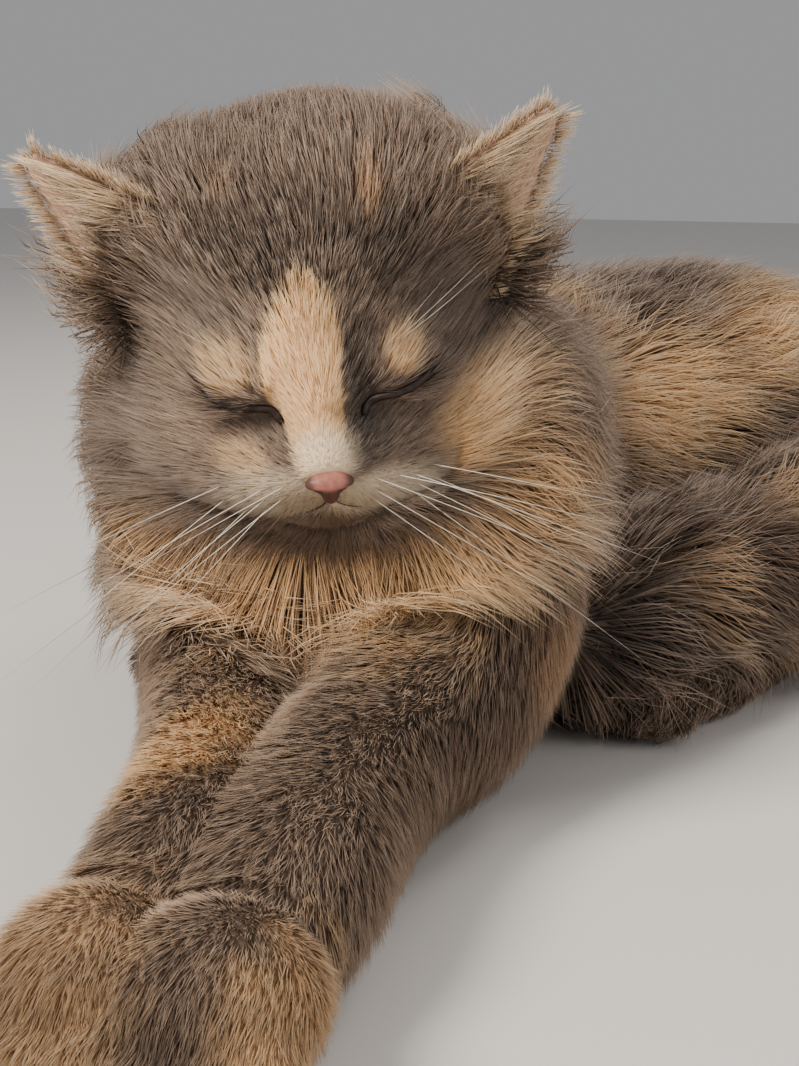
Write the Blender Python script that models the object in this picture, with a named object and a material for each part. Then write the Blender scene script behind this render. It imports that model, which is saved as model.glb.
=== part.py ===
"""A life-size still model of a long-haired cat asleep on its belly, forelegs stretched out in front.

Metres, +Z up. The cat faces -Y and lies on the floor at Z = 0. Its own left side is +X.
"""

import math

import bmesh
import bpy
import numpy as np
from mathutils import Matrix, Vector

GAP = 0.0003  # between two nodes that touch
CM = 0.01
ORIGIN = (0.0913, 0.0929, 0.0)  # where the middle of the model's box stands in the sizes below

# Body tubes in centimetres: x, y, z, half width, rise above and drop below at stations along each
# one. They stand half way between the skin and the tips of the coat.
TORSO = (
    (2.2, -1.2, 6.0, 1.2, 1.2, 1.2),
    (2.2, -0.5, 6.0, 3.2, 3.0, 3.4),
    (2.2, 1.2, 5.9, 4.8, 4.6, 5.6),
    (2.2, 4.0, 5.8, 6.0, 6.2, 6.0),
    (2.5, 8.5, 5.6, 6.6, 7.4, 6.0),
    (3.0, 13.0, 5.4, 6.9, 7.8, 6.0),
    (4.0, 18.0, 5.3, 7.1, 8.0, 6.0),
    (5.8, 22.6, 5.3, 7.3, 8.1, 6.0),
    (8.4, 26.9, 5.4, 7.1, 8.0, 6.0),
    (11.1, 30.4, 5.5, 6.3, 7.2, 6.0),
    (13.0, 32.8, 5.6, 4.6, 5.2, 5.4),
    (14.0, 34.1, 5.6, 2.8, 3.2, 3.6),
    (14.4, 34.7, 5.6, 1.0, 1.2, 1.4),
)
NECK = (
    (2.7, 10.4, 8.0, 2.0, 2.0, 2.0),
    (2.6, 9.0, 8.6, 4.8, 4.4, 4.4),
    (2.4, 6.6, 9.6, 6.6, 5.2, 5.6),
    (2.3, 3.8, 10.4, 7.3, 5.2, 6.0),
    (2.1, 1.2, 11.2, 7.0, 4.4, 6.0),
    (2.0, -0.6, 11.8, 5.2, 3.0, 4.8),
    (2.0, -1.6, 12.1, 1.8, 1.2, 1.8),
)
FORELEG_LEFT = (
    (5.6, 7.6, 9.4, 1.4, 1.4, 1.4),
    (6.0, 6.2, 8.6, 3.0, 3.0, 3.0),
    (6.6, 3.2, 6.0, 3.5, 3.4, 3.4),
    (6.5, 0.2, 3.8, 3.2, 3.0, 3.4),
    (6.0, -3.6, 3.2, 2.7, 2.7, 3.0),
    (6.2, -7.4, 2.9, 2.5, 2.5, 2.8),
    (6.8, -11.6, 2.6, 2.5, 2.3, 2.6),
    (7.1, -14.6, 2.3, 2.2, 1.8, 2.1),
)
FORELEG_RIGHT = (
    (-1.2, 7.6, 9.2, 1.4, 1.4, 1.4),
    (-1.4, 6.2, 8.0, 2.8, 2.8, 2.8),
    (-1.4, 3.4, 5.6, 3.2, 3.2, 3.2),
    (-0.2, 0.2, 3.7, 2.9, 3.0, 3.4),
    (1.4, -3.4, 3.0, 2.6, 2.6, 3.0),
    (2.8, -7.4, 2.7, 2.4, 2.4, 2.7),
    (3.8, -11.6, 2.5, 2.3, 2.2, 2.5),
    (4.2, -14.4, 2.2, 2.0, 1.8, 2.0),
)
HINDLEG_LEFT = (
    (8.6, 5.4, 4.2, 0.8, 0.9, 1.0),
    (8.9, 6.2, 4.2, 1.9, 2.0, 2.8),
    (9.6, 8.8, 4.4, 2.7, 2.6, 3.6),
    (10.8, 12.4, 4.4, 3.0, 2.5, 4.2),
    (12.1, 16.8, 4.4, 3.1, 2.4, 4.2),
    (13.3, 21.6, 4.7, 3.2, 3.0, 4.5),
    (14.2, 26.0, 5.3, 3.0, 3.9, 5.0),
    (14.5, 29.6, 5.5, 2.3, 3.3, 4.2),
    (14.3, 31.4, 5.6, 1.0, 1.4, 1.8),
)
HINDLEG_RIGHT = (
    (-3.9, 9.4, 4.4, 0.8, 0.9, 1.0),
    (-4.1, 10.2, 4.4, 1.9, 2.0, 2.8),
    (-4.6, 12.6, 4.6, 2.7, 3.2, 3.8),
    (-4.8, 16.0, 4.9, 3.0, 3.8, 4.7),
    (-4.4, 20.0, 5.2, 3.2, 4.6, 5.0),
    (-3.0, 24.2, 5.6, 3.3, 5.0, 5.4),
    (-0.4, 27.8, 5.8, 3.0, 4.8, 5.4),
    (2.6, 30.4, 5.8, 2.2, 3.4, 4.2),
    (4.2, 31.6, 5.8, 1.0, 1.4, 1.8),
)
HINDFOOT_LEFT = (
    (14.2, 22.0, 1.3, 1.0, 0.9, 1.2),
    (13.8, 20.4, 1.5, 1.7, 1.5, 1.9),
    (12.8, 16.0, 1.6, 1.8, 1.6, 1.9),
    (11.8, 12.0, 1.6, 1.9, 1.6, 1.9),
    (11.4, 10.4, 1.6, 1.5, 1.2, 1.7),
)
HINDFOOT_RIGHT = (
    (-5.6, 21.6, 1.3, 1.0, 0.9, 1.2),
    (-6.0, 20.0, 1.5, 1.7, 1.5, 1.9),
    (-6.2, 15.6, 1.6, 1.8, 1.6, 1.9),
    (-6.0, 11.6, 1.6, 1.9, 1.6, 1.9),
    (-5.9, 10.0, 1.6, 1.5, 1.2, 1.7),
)
TAIL = (
    (13.6, 32.0, 6.0, 1.8, 1.8, 1.8),
    (15.4, 34.2, 5.0, 2.4, 2.4, 2.6),
    (18.0, 35.4, 3.6, 2.7, 2.6, 3.0),
    (21.0, 34.2, 2.8, 2.9, 2.7, 3.0),
    (22.9, 31.0, 2.7, 3.0, 2.7, 3.0),
    (23.3, 27.0, 2.6, 3.0, 2.7, 3.0),
    (22.7, 23.0, 2.6, 3.0, 2.7, 3.0),
    (21.5, 19.2, 2.5, 2.8, 2.6, 2.8),
    (20.0, 15.8, 2.2, 2.2, 2.1, 2.5),
    (18.8, 13.4, 1.8, 1.2, 1.3, 2.0),
)
TAIL_CUTS = (3.55, 6.1)  # where the tail is parted, counted in stations
PAW_LEFT, PAW_RIGHT = (7.25, -16.2, 2.15), (4.2, -15.8, 2.0)
HINDPAW_LEFT, HINDPAW_RIGHT = (11.2, 10.0, 1.5), (-5.8, 9.4, 1.5)

# The head in centimetres and its own axes: the nose at -Y, the crown at +Z.
HEAD_AT = (2.35, 0.8, 14.0)
HEAD_YAW, HEAD_PITCH, HEAD_ROLL = math.radians(26.6), math.radians(26), math.radians(-5.7)
HEAD_CENTRE = (0.0, -1.4, -0.4)  # the point from which its surface is cast
FACE_CENTRE = (0.0, -5.2, -0.6)
FACE_FUR, CROWN_FUR = 0.22, 1.45
FACE_REACH, CROWN_REACH = 3.2, 7.4
HEAD_BLEND = 1.1
# centre, radii, on both sides
HEAD_FORMS = (
    ((0.0, 1.0, 1.0), (4.15, 4.6, 3.9), False),
    ((2.4, 2.2, 2.6), (2.0, 2.2, 1.7), True),
    ((2.2, -1.3, -1.1), (2.3, 2.5, 2.2), True),
    ((2.5, -1.7, -2.1), (2.0, 2.0, 1.5), True),
    ((0.0, -3.9, -1.5), (1.7, 1.4, 1.1), False),
    ((0.92, -4.65, -1.72), (0.95, 0.85, 0.72), True),
    ((0.0, -3.5, 0.35), (0.9, 1.25, 0.9), False),
    ((0.0, -4.95, -0.8), (0.55, 0.7, 0.45), False),
    ((0.0, -4.4, -2.65), (0.85, 0.75, 0.55), False),
    ((2.05, -2.6, 0.3), (1.2, 1.15, 1.05), True),
)
# The lines of lids and mouth, and the places on the head that they pass over.
LINE_HALF_WIDTH, LINE_DEPTH = 0.11, 0.12
LID_LINE = ((1.20, -4.5, 0.02), (1.50, -4.4, 0.15), (2.1, -4.1, 0.30), (2.65, -3.7, 0.52), (3.1, -3.2, 0.80))
MOUTH_HALF = ((0.0, -6.0, -1.9), (0.35, -5.9, -2.2), (0.95, -5.5, -2.45), (1.6, -4.8, -2.55), (2.1, -4.0, -2.4))
MOUTH_LINE = tuple((-x, y, z) for x, y, z in MOUTH_HALF[:0:-1]) + MOUTH_HALF
PHILTRUM = ((0.0, -6.0, -1.4), (0.0, -6.0, -1.7), (0.0, -5.95, -2.05))
LID_CENTRE, LID_RADII = (2.05, -3.36, 0.40), (1.20, 0.95, 0.75)
NOSE_CENTRE, NOSE_RADII = (0.0, -5.98, -1.10), (0.66, 0.38, 0.34)
NOSE_FOOT, NOSE_FOOT_RADII = (0.0, -5.94, -1.40), (0.34, 0.34, 0.36)
NOSTRIL, NOSTRIL_RADII = (0.37, -6.38, -1.20), (0.17, 0.16, 0.09)
EAR_ROOT = (3.69, -0.04, 1.79)
EAR_FRONT = (4.2, -1.0, 2.9)  # where the fur is short before the ear
EAR_AXIS = (0.663, 0.184, 0.725)
EAR_FACING = (0.19, -0.98, 0.07)
EAR_LENGTH, EAR_HALF_WIDTH, EAR_TIP = 5.7, 2.3, 0.22
EAR_CUP, EAR_THICK, EAR_SUNK = 1.2, 0.34, 0.8
EAR_ARC = math.radians(72)
PAW_TOES = ((-1.65, -1.9), (-0.6, -2.75), (0.6, -2.75), (1.65, -1.9))
TOE_RADII = (0.95, 1.45, 1.15)
PAW_RADII = (2.65, 3.1, 2.25)

REACH = 1.15  # how far the tips of the coat stand beyond the tubes


def smooth(low, high, value):
    """0 below low, 1 above high, and an even curve between them."""
    t = np.clip((value - low) / (high - low), 0.0, 1.0)
    return t * t * (3 - 2 * t)


def curve_through(stations, count):
    """Count rows along the Catmull-Rom curve through the stations."""
    rows = np.array(stations, float)
    rows = np.vstack((2 * rows[0] - rows[1], rows, 2 * rows[-1] - rows[-2]))
    places = np.linspace(0, len(stations) - 1, count)
    found = []
    for place in places:
        i = min(int(place), len(stations) - 2)
        t = place - i
        a, b, c, d = rows[i : i + 4]
        found.append(
            0.5 * (2 * b + (c - a) * t + (2 * a - 5 * b + 4 * c - d) * t**2 + (3 * b - a - 3 * c + d) * t**3)
        )
    return np.array(found)


def made(name, points, faces):
    """A mesh object of points in centimetres with its faces pointing out, linked to the scene."""
    mesh = bpy.data.meshes.new(name)
    mesh.from_pydata([tuple(c * CM for c in p) for p in points], [], faces)
    body = bpy.data.objects.new(name, mesh)
    bpy.context.scene.collection.objects.link(body)
    work = bmesh.new()
    work.from_mesh(mesh)
    bmesh.ops.recalc_face_normals(work, faces=work.faces)
    work.to_mesh(mesh)
    work.free()
    return body


def tube(name, stations, sides, rings, grow=0.0, level=False, power=2.3):
    """A closed tube through the stations, its sections square to its path and closed at both ends."""
    rows = curve_through(stations, rings)
    path = rows[:, :3]
    along = np.gradient(path, axis=0)
    along /= np.linalg.norm(along, axis=1)[:, None]
    points = []
    for middle, ahead, (width, rise, drop) in zip(path, along, rows[:, 3:] + grow):
        if level:
            side = np.cross(ahead, (0, 0, 1))
        else:
            side = np.array((1.0, 0, 0)) - ahead[0] * ahead
        side /= np.linalg.norm(side)
        up = np.cross(side, ahead)
        up *= 1 if up[2] > 0 or (abs(up[2]) < 0.2 and up[1] < 0) else -1
        for k in range(sides):
            turn = 2 * math.pi * k / sides
            c, s = math.cos(turn), math.sin(turn)
            across = math.copysign(abs(c) ** (2 / power), c) * width
            height = math.copysign(abs(s) ** (2 / power), s) * (rise if s > 0 else drop)
            points.append(middle + side * across + up * height)
    last = (rings - 1) * sides
    faces = [
        (r + k, r + (k + 1) % sides, r + sides + (k + 1) % sides, r + sides + k)
        for r in range(0, last, sides)
        for k in range(sides)
    ]
    points += [path[0], path[-1]]
    faces += [(k, len(points) - 2, (k + 1) % sides) for k in range(sides)]
    faces += [(last + (k + 1) % sides, len(points) - 1, last + k) for k in range(sides)]
    return made(name, points, faces)


def ball(name, centre, radii, level=2, turn=None):
    """An ellipsoid, turned about its centre."""
    work = bmesh.new()
    bmesh.ops.create_icosphere(work, subdivisions=level, radius=1.0)
    turn = turn or Matrix.Identity(3)
    for vertex in work.verts:
        vertex.co = CM * (Vector(centre) + turn @ Vector([c * r for c, r in zip(vertex.co, radii)]))
    mesh = bpy.data.meshes.new(name)
    work.to_mesh(mesh)
    work.free()
    body = bpy.data.objects.new(name, mesh)
    bpy.context.scene.collection.objects.link(body)
    return body


def head_turn():
    """The head's own axes in the model's."""
    return (
        Matrix.Rotation(HEAD_YAW, 3, "Z")
        @ Matrix.Rotation(HEAD_PITCH, 3, "X")
        @ Matrix.Rotation(HEAD_ROLL, 3, "Y")
    )


def in_model(points):
    """Points of the head's own axes in the model's."""
    return np.asarray(points, float) @ np.array(head_turn()).T + HEAD_AT


def head_fur(points):
    """How deep the short fur of the head is: thin on the face, deep on the crown and cheeks."""
    away = np.linalg.norm(points - FACE_CENTRE, axis=-1)
    folded = np.stack((np.abs(points[..., 0]), points[..., 1], points[..., 2]), axis=-1)
    by_ear = 0.7 * np.exp(-(np.linalg.norm(folded - EAR_FRONT, axis=-1) ** 2) / 3.0)
    return FACE_FUR + (CROWN_FUR - FACE_FUR) * smooth(FACE_REACH, CROWN_REACH, away) * (1 - by_ear)


def head_distance(points):
    """Signed distance from the head's skin, its forms blended together."""
    total = np.full(points.shape[:-1], 100.0)
    for centre, radii, both in HEAD_FORMS:
        for side in (1, -1) if both else (1,):
            offset = (points - np.multiply(centre, (side, 1, 1))) / radii
            near = np.linalg.norm(offset, axis=-1)
            slope = np.linalg.norm(offset / radii, axis=-1)
            form = near * (near - 1) / np.maximum(slope, 1e-9)
            share = np.clip(0.5 + 0.5 * (total - form) / HEAD_BLEND, 0, 1)
            total = total + (form - total) * share - HEAD_BLEND * share * (1 - share)
    return total


def cast_from_head(directions, furred=1.0):
    """Where rays from the head's centre leave it, with its fur on."""
    low, high = np.zeros(len(directions)), np.full(len(directions), 11.0)
    for _ in range(26):
        middle = (low + high) / 2
        points = directions * middle[:, None] + HEAD_CENTRE
        outside = head_distance(points) > furred * head_fur(points)
        high, low = np.where(outside, middle, high), np.where(outside, low, middle)
    return directions * high[:, None] + HEAD_CENTRE


def head_surface(name, sides, rings):
    """The head as one closed mesh, its rings closer together round the nose."""
    polar = math.pi * np.linspace(0, 1, rings + 2)[1:-1] ** 1.55
    rows = [(0.0, -1.0, 0.0)]
    for angle in polar:
        for k in range(sides):
            turn = 2 * math.pi * k / sides
            rows.append((math.sin(angle) * math.sin(turn), -math.cos(angle), math.sin(angle) * math.cos(turn)))
    rows.append((0.0, 1.0, 0.0))
    points = in_model(cast_from_head(np.array(rows)))
    last = 1 + (rings - 1) * sides
    faces = [(0, 1 + k, 1 + (k + 1) % sides) for k in range(sides)]
    faces += [
        (r + k, r + sides + k, r + sides + (k + 1) % sides, r + (k + 1) % sides)
        for r in range(1, last, sides)
        for k in range(sides)
    ]
    faces += [(last + (k + 1) % sides, last + k, len(points) - 1) for k in range(sides)]
    return made(name, points, faces)


def ear(name, side, across=12, rows=12):
    """One ear: a cupped, pointed shell, thinner to its rim, its root sunk in the head."""
    axis = Vector(EAR_AXIS).normalized()
    facing = Vector(EAR_FACING)
    facing = (facing - facing.dot(axis) * axis).normalized()
    width_way = facing.cross(axis)
    shell = ([], [])
    for j in range(rows + 1):
        v = j / rows
        half = EAR_TIP + (EAR_HALF_WIDTH - EAR_TIP) * (1 - v**1.25) ** 0.9
        for i in range(across + 1):
            u = 2 * i / across - 1
            sweep = u * EAR_ARC
            middle = (
                Vector(EAR_ROOT)
                + axis * (v * (EAR_LENGTH + EAR_SUNK) - EAR_SUNK)
                + width_way * (half * math.sin(sweep) / math.sin(EAR_ARC))
                - facing * (EAR_CUP * (1 - v) ** 0.7 * (math.cos(sweep) - math.cos(EAR_ARC)))
            )
            thick = EAR_THICK * (0.45 + 0.55 * (1 - abs(u) ** 3)) * (0.55 + 0.45 * (1 - v))
            out = (facing * math.cos(sweep) - width_way * math.sin(sweep)).normalized()
            for layer, way in zip(shell, (0.5, -0.5)):
                layer.append(middle + out * (thick * way))
    points = [Vector((side * p.x, p.y, p.z)) for layer in shell for p in layer]
    step, count = across + 1, len(shell[0])
    faces = []
    for j in range(rows):
        for i in range(across):
            a, b, c, d = (j * step + i, j * step + i + 1, (j + 1) * step + i + 1, (j + 1) * step + i)
            faces += [(a, b, c), (a, c, d), (count + c, count + b, count + a), (count + d, count + c, count + a)]
    rim = [i for i in range(step)]
    rim += [j * step + across for j in range(1, rows + 1)]
    rim += [rows * step + i for i in range(across - 1, -1, -1)]
    rim += [j * step for j in range(rows - 1, 0, -1)]
    for a, b in zip(rim, rim[1:] + rim[:1]):
        faces.append((a, count + a, count + b, b))
    return made(name, in_model([tuple(p) for p in points]), faces)


def paw(name, centre, heading, size=1.0):
    """A paw's pieces: its round back and four toes, pointing along the heading."""
    turn = Matrix.Rotation(heading, 3, "Z")
    pieces = [ball(name, centre, [r * size for r in PAW_RADII], 3, turn)]
    for k, (x, y) in enumerate(PAW_TOES):
        place = Vector(centre) + turn @ Vector((x * size, y * size, -0.55 * size))
        pieces.append(ball(f"{name}_toe_{k}", place, [r * size for r in TOE_RADII], 2, turn))
    return pieces


def on_head(places, furred=1.0):
    """The points of the head's surface in the directions of these places."""
    directions = np.array(places, float) - HEAD_CENTRE
    return cast_from_head(directions / np.linalg.norm(directions, axis=1)[:, None], furred)


def groove(name, places, side=1):
    """A thin wedge that cuts a line into the head's surface past these places."""
    rows = curve_through([(side * x, y, z) for x, y, z in places], 3 * len(places) - 2)
    path = on_head(rows)
    out = path - HEAD_CENTRE
    out /= np.linalg.norm(out, axis=1)[:, None]
    across = np.cross(out, np.gradient(path, axis=0))
    across /= np.linalg.norm(across, axis=1)[:, None]
    points = []
    for middle, away, wide in zip(path, out, across * LINE_HALF_WIDTH):
        points += [middle - away * LINE_DEPTH, middle + away * 0.4 + wide, middle + away * 0.4 - wide]
    last = len(points) - 3
    faces = [(r + k, r + (k + 1) % 3, r + 3 + (k + 1) % 3, r + 3 + k) for r in range(0, last, 3) for k in range(3)]
    return made(name, in_model(points), faces + [(2, 1, 0), (last, last + 1, last + 2)])


def head_ball(name, centre, radii, side=1, level=2, tilt=0.0):
    """An ellipsoid that lies along the head's own axes."""
    place = in_model([(side * centre[0], *centre[1:])])[0]
    return ball(name, place, radii, level, head_turn() @ Matrix.Rotation(side * tilt, 3, "Y"))


def fuse(name, pieces, clear_of=(), carved=()):
    """One closed body of the pieces, cut by the carvers and clear of other nodes and of the floor."""
    base, group = pieces[0], bpy.data.collections.new(name + "_pieces")
    for piece in pieces[1:]:
        group.objects.link(piece)
    if len(pieces) > 1:
        join = base.modifiers.new("join", "BOOLEAN")
        join.operation, join.operand_type, join.solver = "UNION", "COLLECTION", "MANIFOLD"
        join.collection = group
        apply(base)
    drop(pieces[1:], group)
    group = bpy.data.collections.new(name + "_cutters")
    cutters = [swollen(other) for other in clear_of] + [below_floor(), *carved]
    for cutter in cutters:
        group.objects.link(cutter)
    cut = base.modifiers.new("cut", "BOOLEAN")
    cut.operation, cut.operand_type, cut.solver = "DIFFERENCE", "COLLECTION", "MANIFOLD"
    cut.collection = group
    apply(base)
    drop(cutters, group)
    keep_largest(base)
    base.name = base.data.name = name
    return base


def apply(body):
    """The body's modifiers, made part of its mesh."""
    bpy.context.view_layer.update()
    graph = bpy.context.evaluated_depsgraph_get()
    mesh = bpy.data.meshes.new_from_object(body.evaluated_get(graph))
    body.modifiers.clear()
    old, body.data = body.data, mesh
    bpy.data.meshes.remove(old)


def drop(bodies, group):
    for body in list(bodies):
        mesh = body.data
        bpy.data.objects.remove(body)
        if not mesh.users:
            bpy.data.meshes.remove(mesh)
    bpy.data.collections.remove(group)


def swollen(body):
    """A copy of the body, larger all round by the gap."""
    mesh = body.data.copy()
    moves = [(v.index, v.co + v.normal * GAP * 1.2) for v in mesh.vertices]
    for index, place in moves:
        mesh.vertices[index].co = place
    copy = bpy.data.objects.new(body.name + "_swollen", mesh)
    bpy.context.scene.collection.objects.link(copy)
    return copy


def below_floor():
    """A block whose top is the floor."""
    work = bmesh.new()
    bmesh.ops.create_cube(work, size=1.0)
    bmesh.ops.translate(work, verts=work.verts, vec=(0, 0.1, -0.5))
    bmesh.ops.scale(work, verts=work.verts, vec=(2, 2, 1))
    mesh = bpy.data.meshes.new("floor")
    work.to_mesh(mesh)
    work.free()
    body = bpy.data.objects.new("floor", mesh)
    bpy.context.scene.collection.objects.link(body)
    return body


def keep_largest(body):
    """Only the body's largest closed surface."""
    work = bmesh.new()
    work.from_mesh(body.data)
    bmesh.ops.triangulate(work, faces=work.faces)
    unseen, shells = set(work.faces), []
    while unseen:
        front = [unseen.pop()]
        shell = list(front)
        while front:
            for edge in front.pop().edges:
                for face in edge.link_faces:
                    if face in unseen:
                        unseen.discard(face)
                        shell.append(face)
                        front.append(face)
        shells.append(shell)

    def volume(shell):
        return sum(f.verts[0].co.dot(f.verts[1].co.cross(f.verts[2].co)) for f in shell)

    best = max(shells, key=volume)
    for shell in shells:
        if shell is not best:
            bmesh.ops.delete(work, geom=shell, context="FACES")
    work.to_mesh(body.data)
    work.free()


def finish(body, colour, roughness):
    """The body's paint, its soft shading and its place."""
    paint = bpy.data.materials.new(body.name)
    paint.use_nodes = True
    shader = paint.node_tree.nodes["Principled BSDF"]
    shader.inputs["Base Color"].default_value = (*colour, 1.0)
    shader.inputs["Roughness"].default_value = roughness
    body.data.materials.clear()
    body.data.materials.append(paint)
    body.data.shade_smooth()
    body.data.set_sharp_from_angle(angle=math.radians(40))
    body.location = -Vector(ORIGIN)


GREY, CREAM, PINK = (0.30, 0.25, 0.22), (0.62, 0.45, 0.30), (0.55, 0.26, 0.23)


def parted_tail():
    """The tail in three lengths, with thin cuts between them."""
    whole = curve_through(TAIL, 60)
    places = np.linspace(0, len(TAIL) - 1, 60)
    names = ("tail_base", "tail_middle", "tail_tip")
    limits = (0.0, *TAIL_CUTS, len(TAIL) - 1.0)
    bodies = []
    for name, low, high in zip(names, limits, limits[1:]):
        rows = whole[(places >= low - 0.15) & (places <= high + 0.15)]
        bodies.append((name, tube(name, rows, 14, 10, REACH * 0.8, level=True)))
    return bodies


def build():
    for body in list(bpy.data.objects):
        bpy.data.objects.remove(body)
    done = []

    def node(name, pieces, carved=()):
        done.append(fuse(name, pieces, done, carved))

    nose = [head_ball("top", NOSE_CENTRE, NOSE_RADII), head_ball("foot", NOSE_FOOT, NOSE_FOOT_RADII)]
    node("nose", nose, [head_ball("nostril", NOSTRIL, NOSTRIL_RADII, side, 2, 0.5) for side in (1, -1)])
    for way, side in (("left", 1), ("right", -1)):
        lid = head_ball("lid", LID_CENTRE, LID_RADII, side, 3, -0.28)
        node(f"eyelids_{way}", [lid], [groove("slit", LID_LINE, side)])
    lines = [groove("mouth", MOUTH_LINE), groove("lip", PHILTRUM)]
    lines += [groove("slit", LID_LINE, side) for side in (1, -1)]
    node("head", [head_surface("head_core", 28, 22)], lines)
    for way, side in (("left", 1), ("right", -1)):
        node(f"ear_{way}", [ear("shell", side)])
    node("neck", [tube("neck_core", NECK, 22, 12, REACH)])
    node("forepaw_left", paw("paw", PAW_LEFT, math.radians(6)))
    node("foreleg_left", [tube("leg", FORELEG_LEFT, 16, 14)])
    node("forepaw_right", paw("paw", PAW_RIGHT, math.radians(10), 0.95))
    node("foreleg_right", [tube("leg", FORELEG_RIGHT, 16, 14)])
    node("torso", [tube("torso_core", TORSO, 24, 18, REACH)])
    sides = (
        ("left", HINDLEG_LEFT, HINDFOOT_LEFT, HINDPAW_LEFT, 15),
        ("right", HINDLEG_RIGHT, HINDFOOT_RIGHT, HINDPAW_RIGHT, 0),
    )
    for way, thigh, foot, toes, heading in sides:
        node(f"hindpaw_{way}", [tube("foot", foot, 12, 8)] + paw("toes", toes, math.radians(-heading), 0.72))
        node(f"hindleg_{way}", [tube("leg", thigh, 16, 14, REACH)])
    for name, core in parted_tail():
        node(name, [core])
    for body in done:
        finish(body, GREY, 0.85)


build()
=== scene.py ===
"""The looks of a life-size long-haired cat asleep on its belly.

Sizes are in centimetres along the model's own axes: the cat faces -Y, its left side is +X.
"""

import math

import bmesh
import bpy
import numpy as np
from mathutils import Matrix, Vector
from mathutils.bvhtree import BVHTree
from mathutils.kdtree import KDTree


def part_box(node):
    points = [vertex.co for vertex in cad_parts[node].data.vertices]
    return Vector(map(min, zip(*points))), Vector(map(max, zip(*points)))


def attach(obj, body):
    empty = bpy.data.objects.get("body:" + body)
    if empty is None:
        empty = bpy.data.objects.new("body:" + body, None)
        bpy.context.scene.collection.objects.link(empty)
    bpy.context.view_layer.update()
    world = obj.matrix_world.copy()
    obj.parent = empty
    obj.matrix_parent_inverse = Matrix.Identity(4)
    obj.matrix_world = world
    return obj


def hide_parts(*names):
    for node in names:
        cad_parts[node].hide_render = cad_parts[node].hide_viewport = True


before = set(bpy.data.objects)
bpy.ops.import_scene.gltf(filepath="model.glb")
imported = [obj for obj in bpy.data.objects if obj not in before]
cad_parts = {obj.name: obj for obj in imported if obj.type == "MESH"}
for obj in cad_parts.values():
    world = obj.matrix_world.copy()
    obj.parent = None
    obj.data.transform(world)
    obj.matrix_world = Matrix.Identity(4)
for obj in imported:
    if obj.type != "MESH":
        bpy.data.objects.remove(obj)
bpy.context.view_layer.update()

CM = 0.01
# The nose's lowest corner in the sizes below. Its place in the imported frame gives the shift.
NOSE_CORNER = np.array((4.0244, -3.9496, 9.7903))
ORIGIN = NOSE_CORNER - np.array(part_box("nose")[0]) / CM

# Body tubes: x, y, z, half width, rise above and drop below at stations along each one.
TORSO = (
    (2.2, -1.2, 6.0, 1.2, 1.2, 1.2),
    (2.2, -0.5, 6.0, 3.2, 3.0, 3.4),
    (2.2, 1.2, 5.9, 4.8, 4.6, 5.6),
    (2.2, 4.0, 5.8, 6.0, 6.2, 6.0),
    (2.5, 8.5, 5.6, 6.6, 7.4, 6.0),
    (3.0, 13.0, 5.4, 6.9, 7.8, 6.0),
    (4.0, 18.0, 5.3, 7.1, 8.0, 6.0),
    (5.8, 22.6, 5.3, 7.3, 8.1, 6.0),
    (8.4, 26.9, 5.4, 7.1, 8.0, 6.0),
    (11.1, 30.4, 5.5, 6.3, 7.2, 6.0),
    (13.0, 32.8, 5.6, 4.6, 5.2, 5.4),
    (14.0, 34.1, 5.6, 2.8, 3.2, 3.6),
    (14.4, 34.7, 5.6, 1.0, 1.2, 1.4),
)
NECK = (
    (2.7, 10.4, 8.0, 2.0, 2.0, 2.0),
    (2.6, 9.0, 8.6, 4.8, 4.4, 4.4),
    (2.4, 6.6, 9.6, 6.6, 5.2, 5.6),
    (2.3, 3.8, 10.4, 7.3, 5.2, 6.0),
    (2.1, 1.2, 11.2, 7.0, 4.4, 6.0),
    (2.0, -0.6, 11.8, 5.2, 3.0, 4.8),
    (2.0, -1.6, 12.1, 1.8, 1.2, 1.8),
)
FORELEG_LEFT = (
    (5.6, 7.6, 9.4, 1.4, 1.4, 1.4),
    (6.0, 6.2, 8.6, 3.0, 3.0, 3.0),
    (6.6, 3.2, 6.0, 3.5, 3.4, 3.4),
    (6.5, 0.2, 3.8, 3.2, 3.0, 3.4),
    (6.0, -3.6, 3.2, 2.7, 2.7, 3.0),
    (6.2, -7.4, 2.9, 2.5, 2.5, 2.8),
    (6.8, -11.6, 2.6, 2.5, 2.3, 2.6),
    (7.1, -14.6, 2.3, 2.2, 1.8, 2.1),
)
FORELEG_RIGHT = (
    (-1.2, 7.6, 9.2, 1.4, 1.4, 1.4),
    (-1.4, 6.2, 8.0, 2.8, 2.8, 2.8),
    (-1.4, 3.4, 5.6, 3.2, 3.2, 3.2),
    (-0.2, 0.2, 3.7, 2.9, 3.0, 3.4),
    (1.4, -3.4, 3.0, 2.6, 2.6, 3.0),
    (2.8, -7.4, 2.7, 2.4, 2.4, 2.7),
    (3.8, -11.6, 2.5, 2.3, 2.2, 2.5),
    (4.2, -14.4, 2.2, 2.0, 1.8, 2.0),
)
HINDLEG_LEFT = (
    (8.6, 5.4, 4.2, 0.8, 0.9, 1.0),
    (8.9, 6.2, 4.2, 1.9, 2.0, 2.8),
    (9.6, 8.8, 4.4, 2.7, 2.6, 3.6),
    (10.8, 12.4, 4.4, 3.0, 2.5, 4.2),
    (12.1, 16.8, 4.4, 3.1, 2.4, 4.2),
    (13.3, 21.6, 4.7, 3.2, 3.0, 4.5),
    (14.2, 26.0, 5.3, 3.0, 3.9, 5.0),
    (14.5, 29.6, 5.5, 2.3, 3.3, 4.2),
    (14.3, 31.4, 5.6, 1.0, 1.4, 1.8),
)
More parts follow.
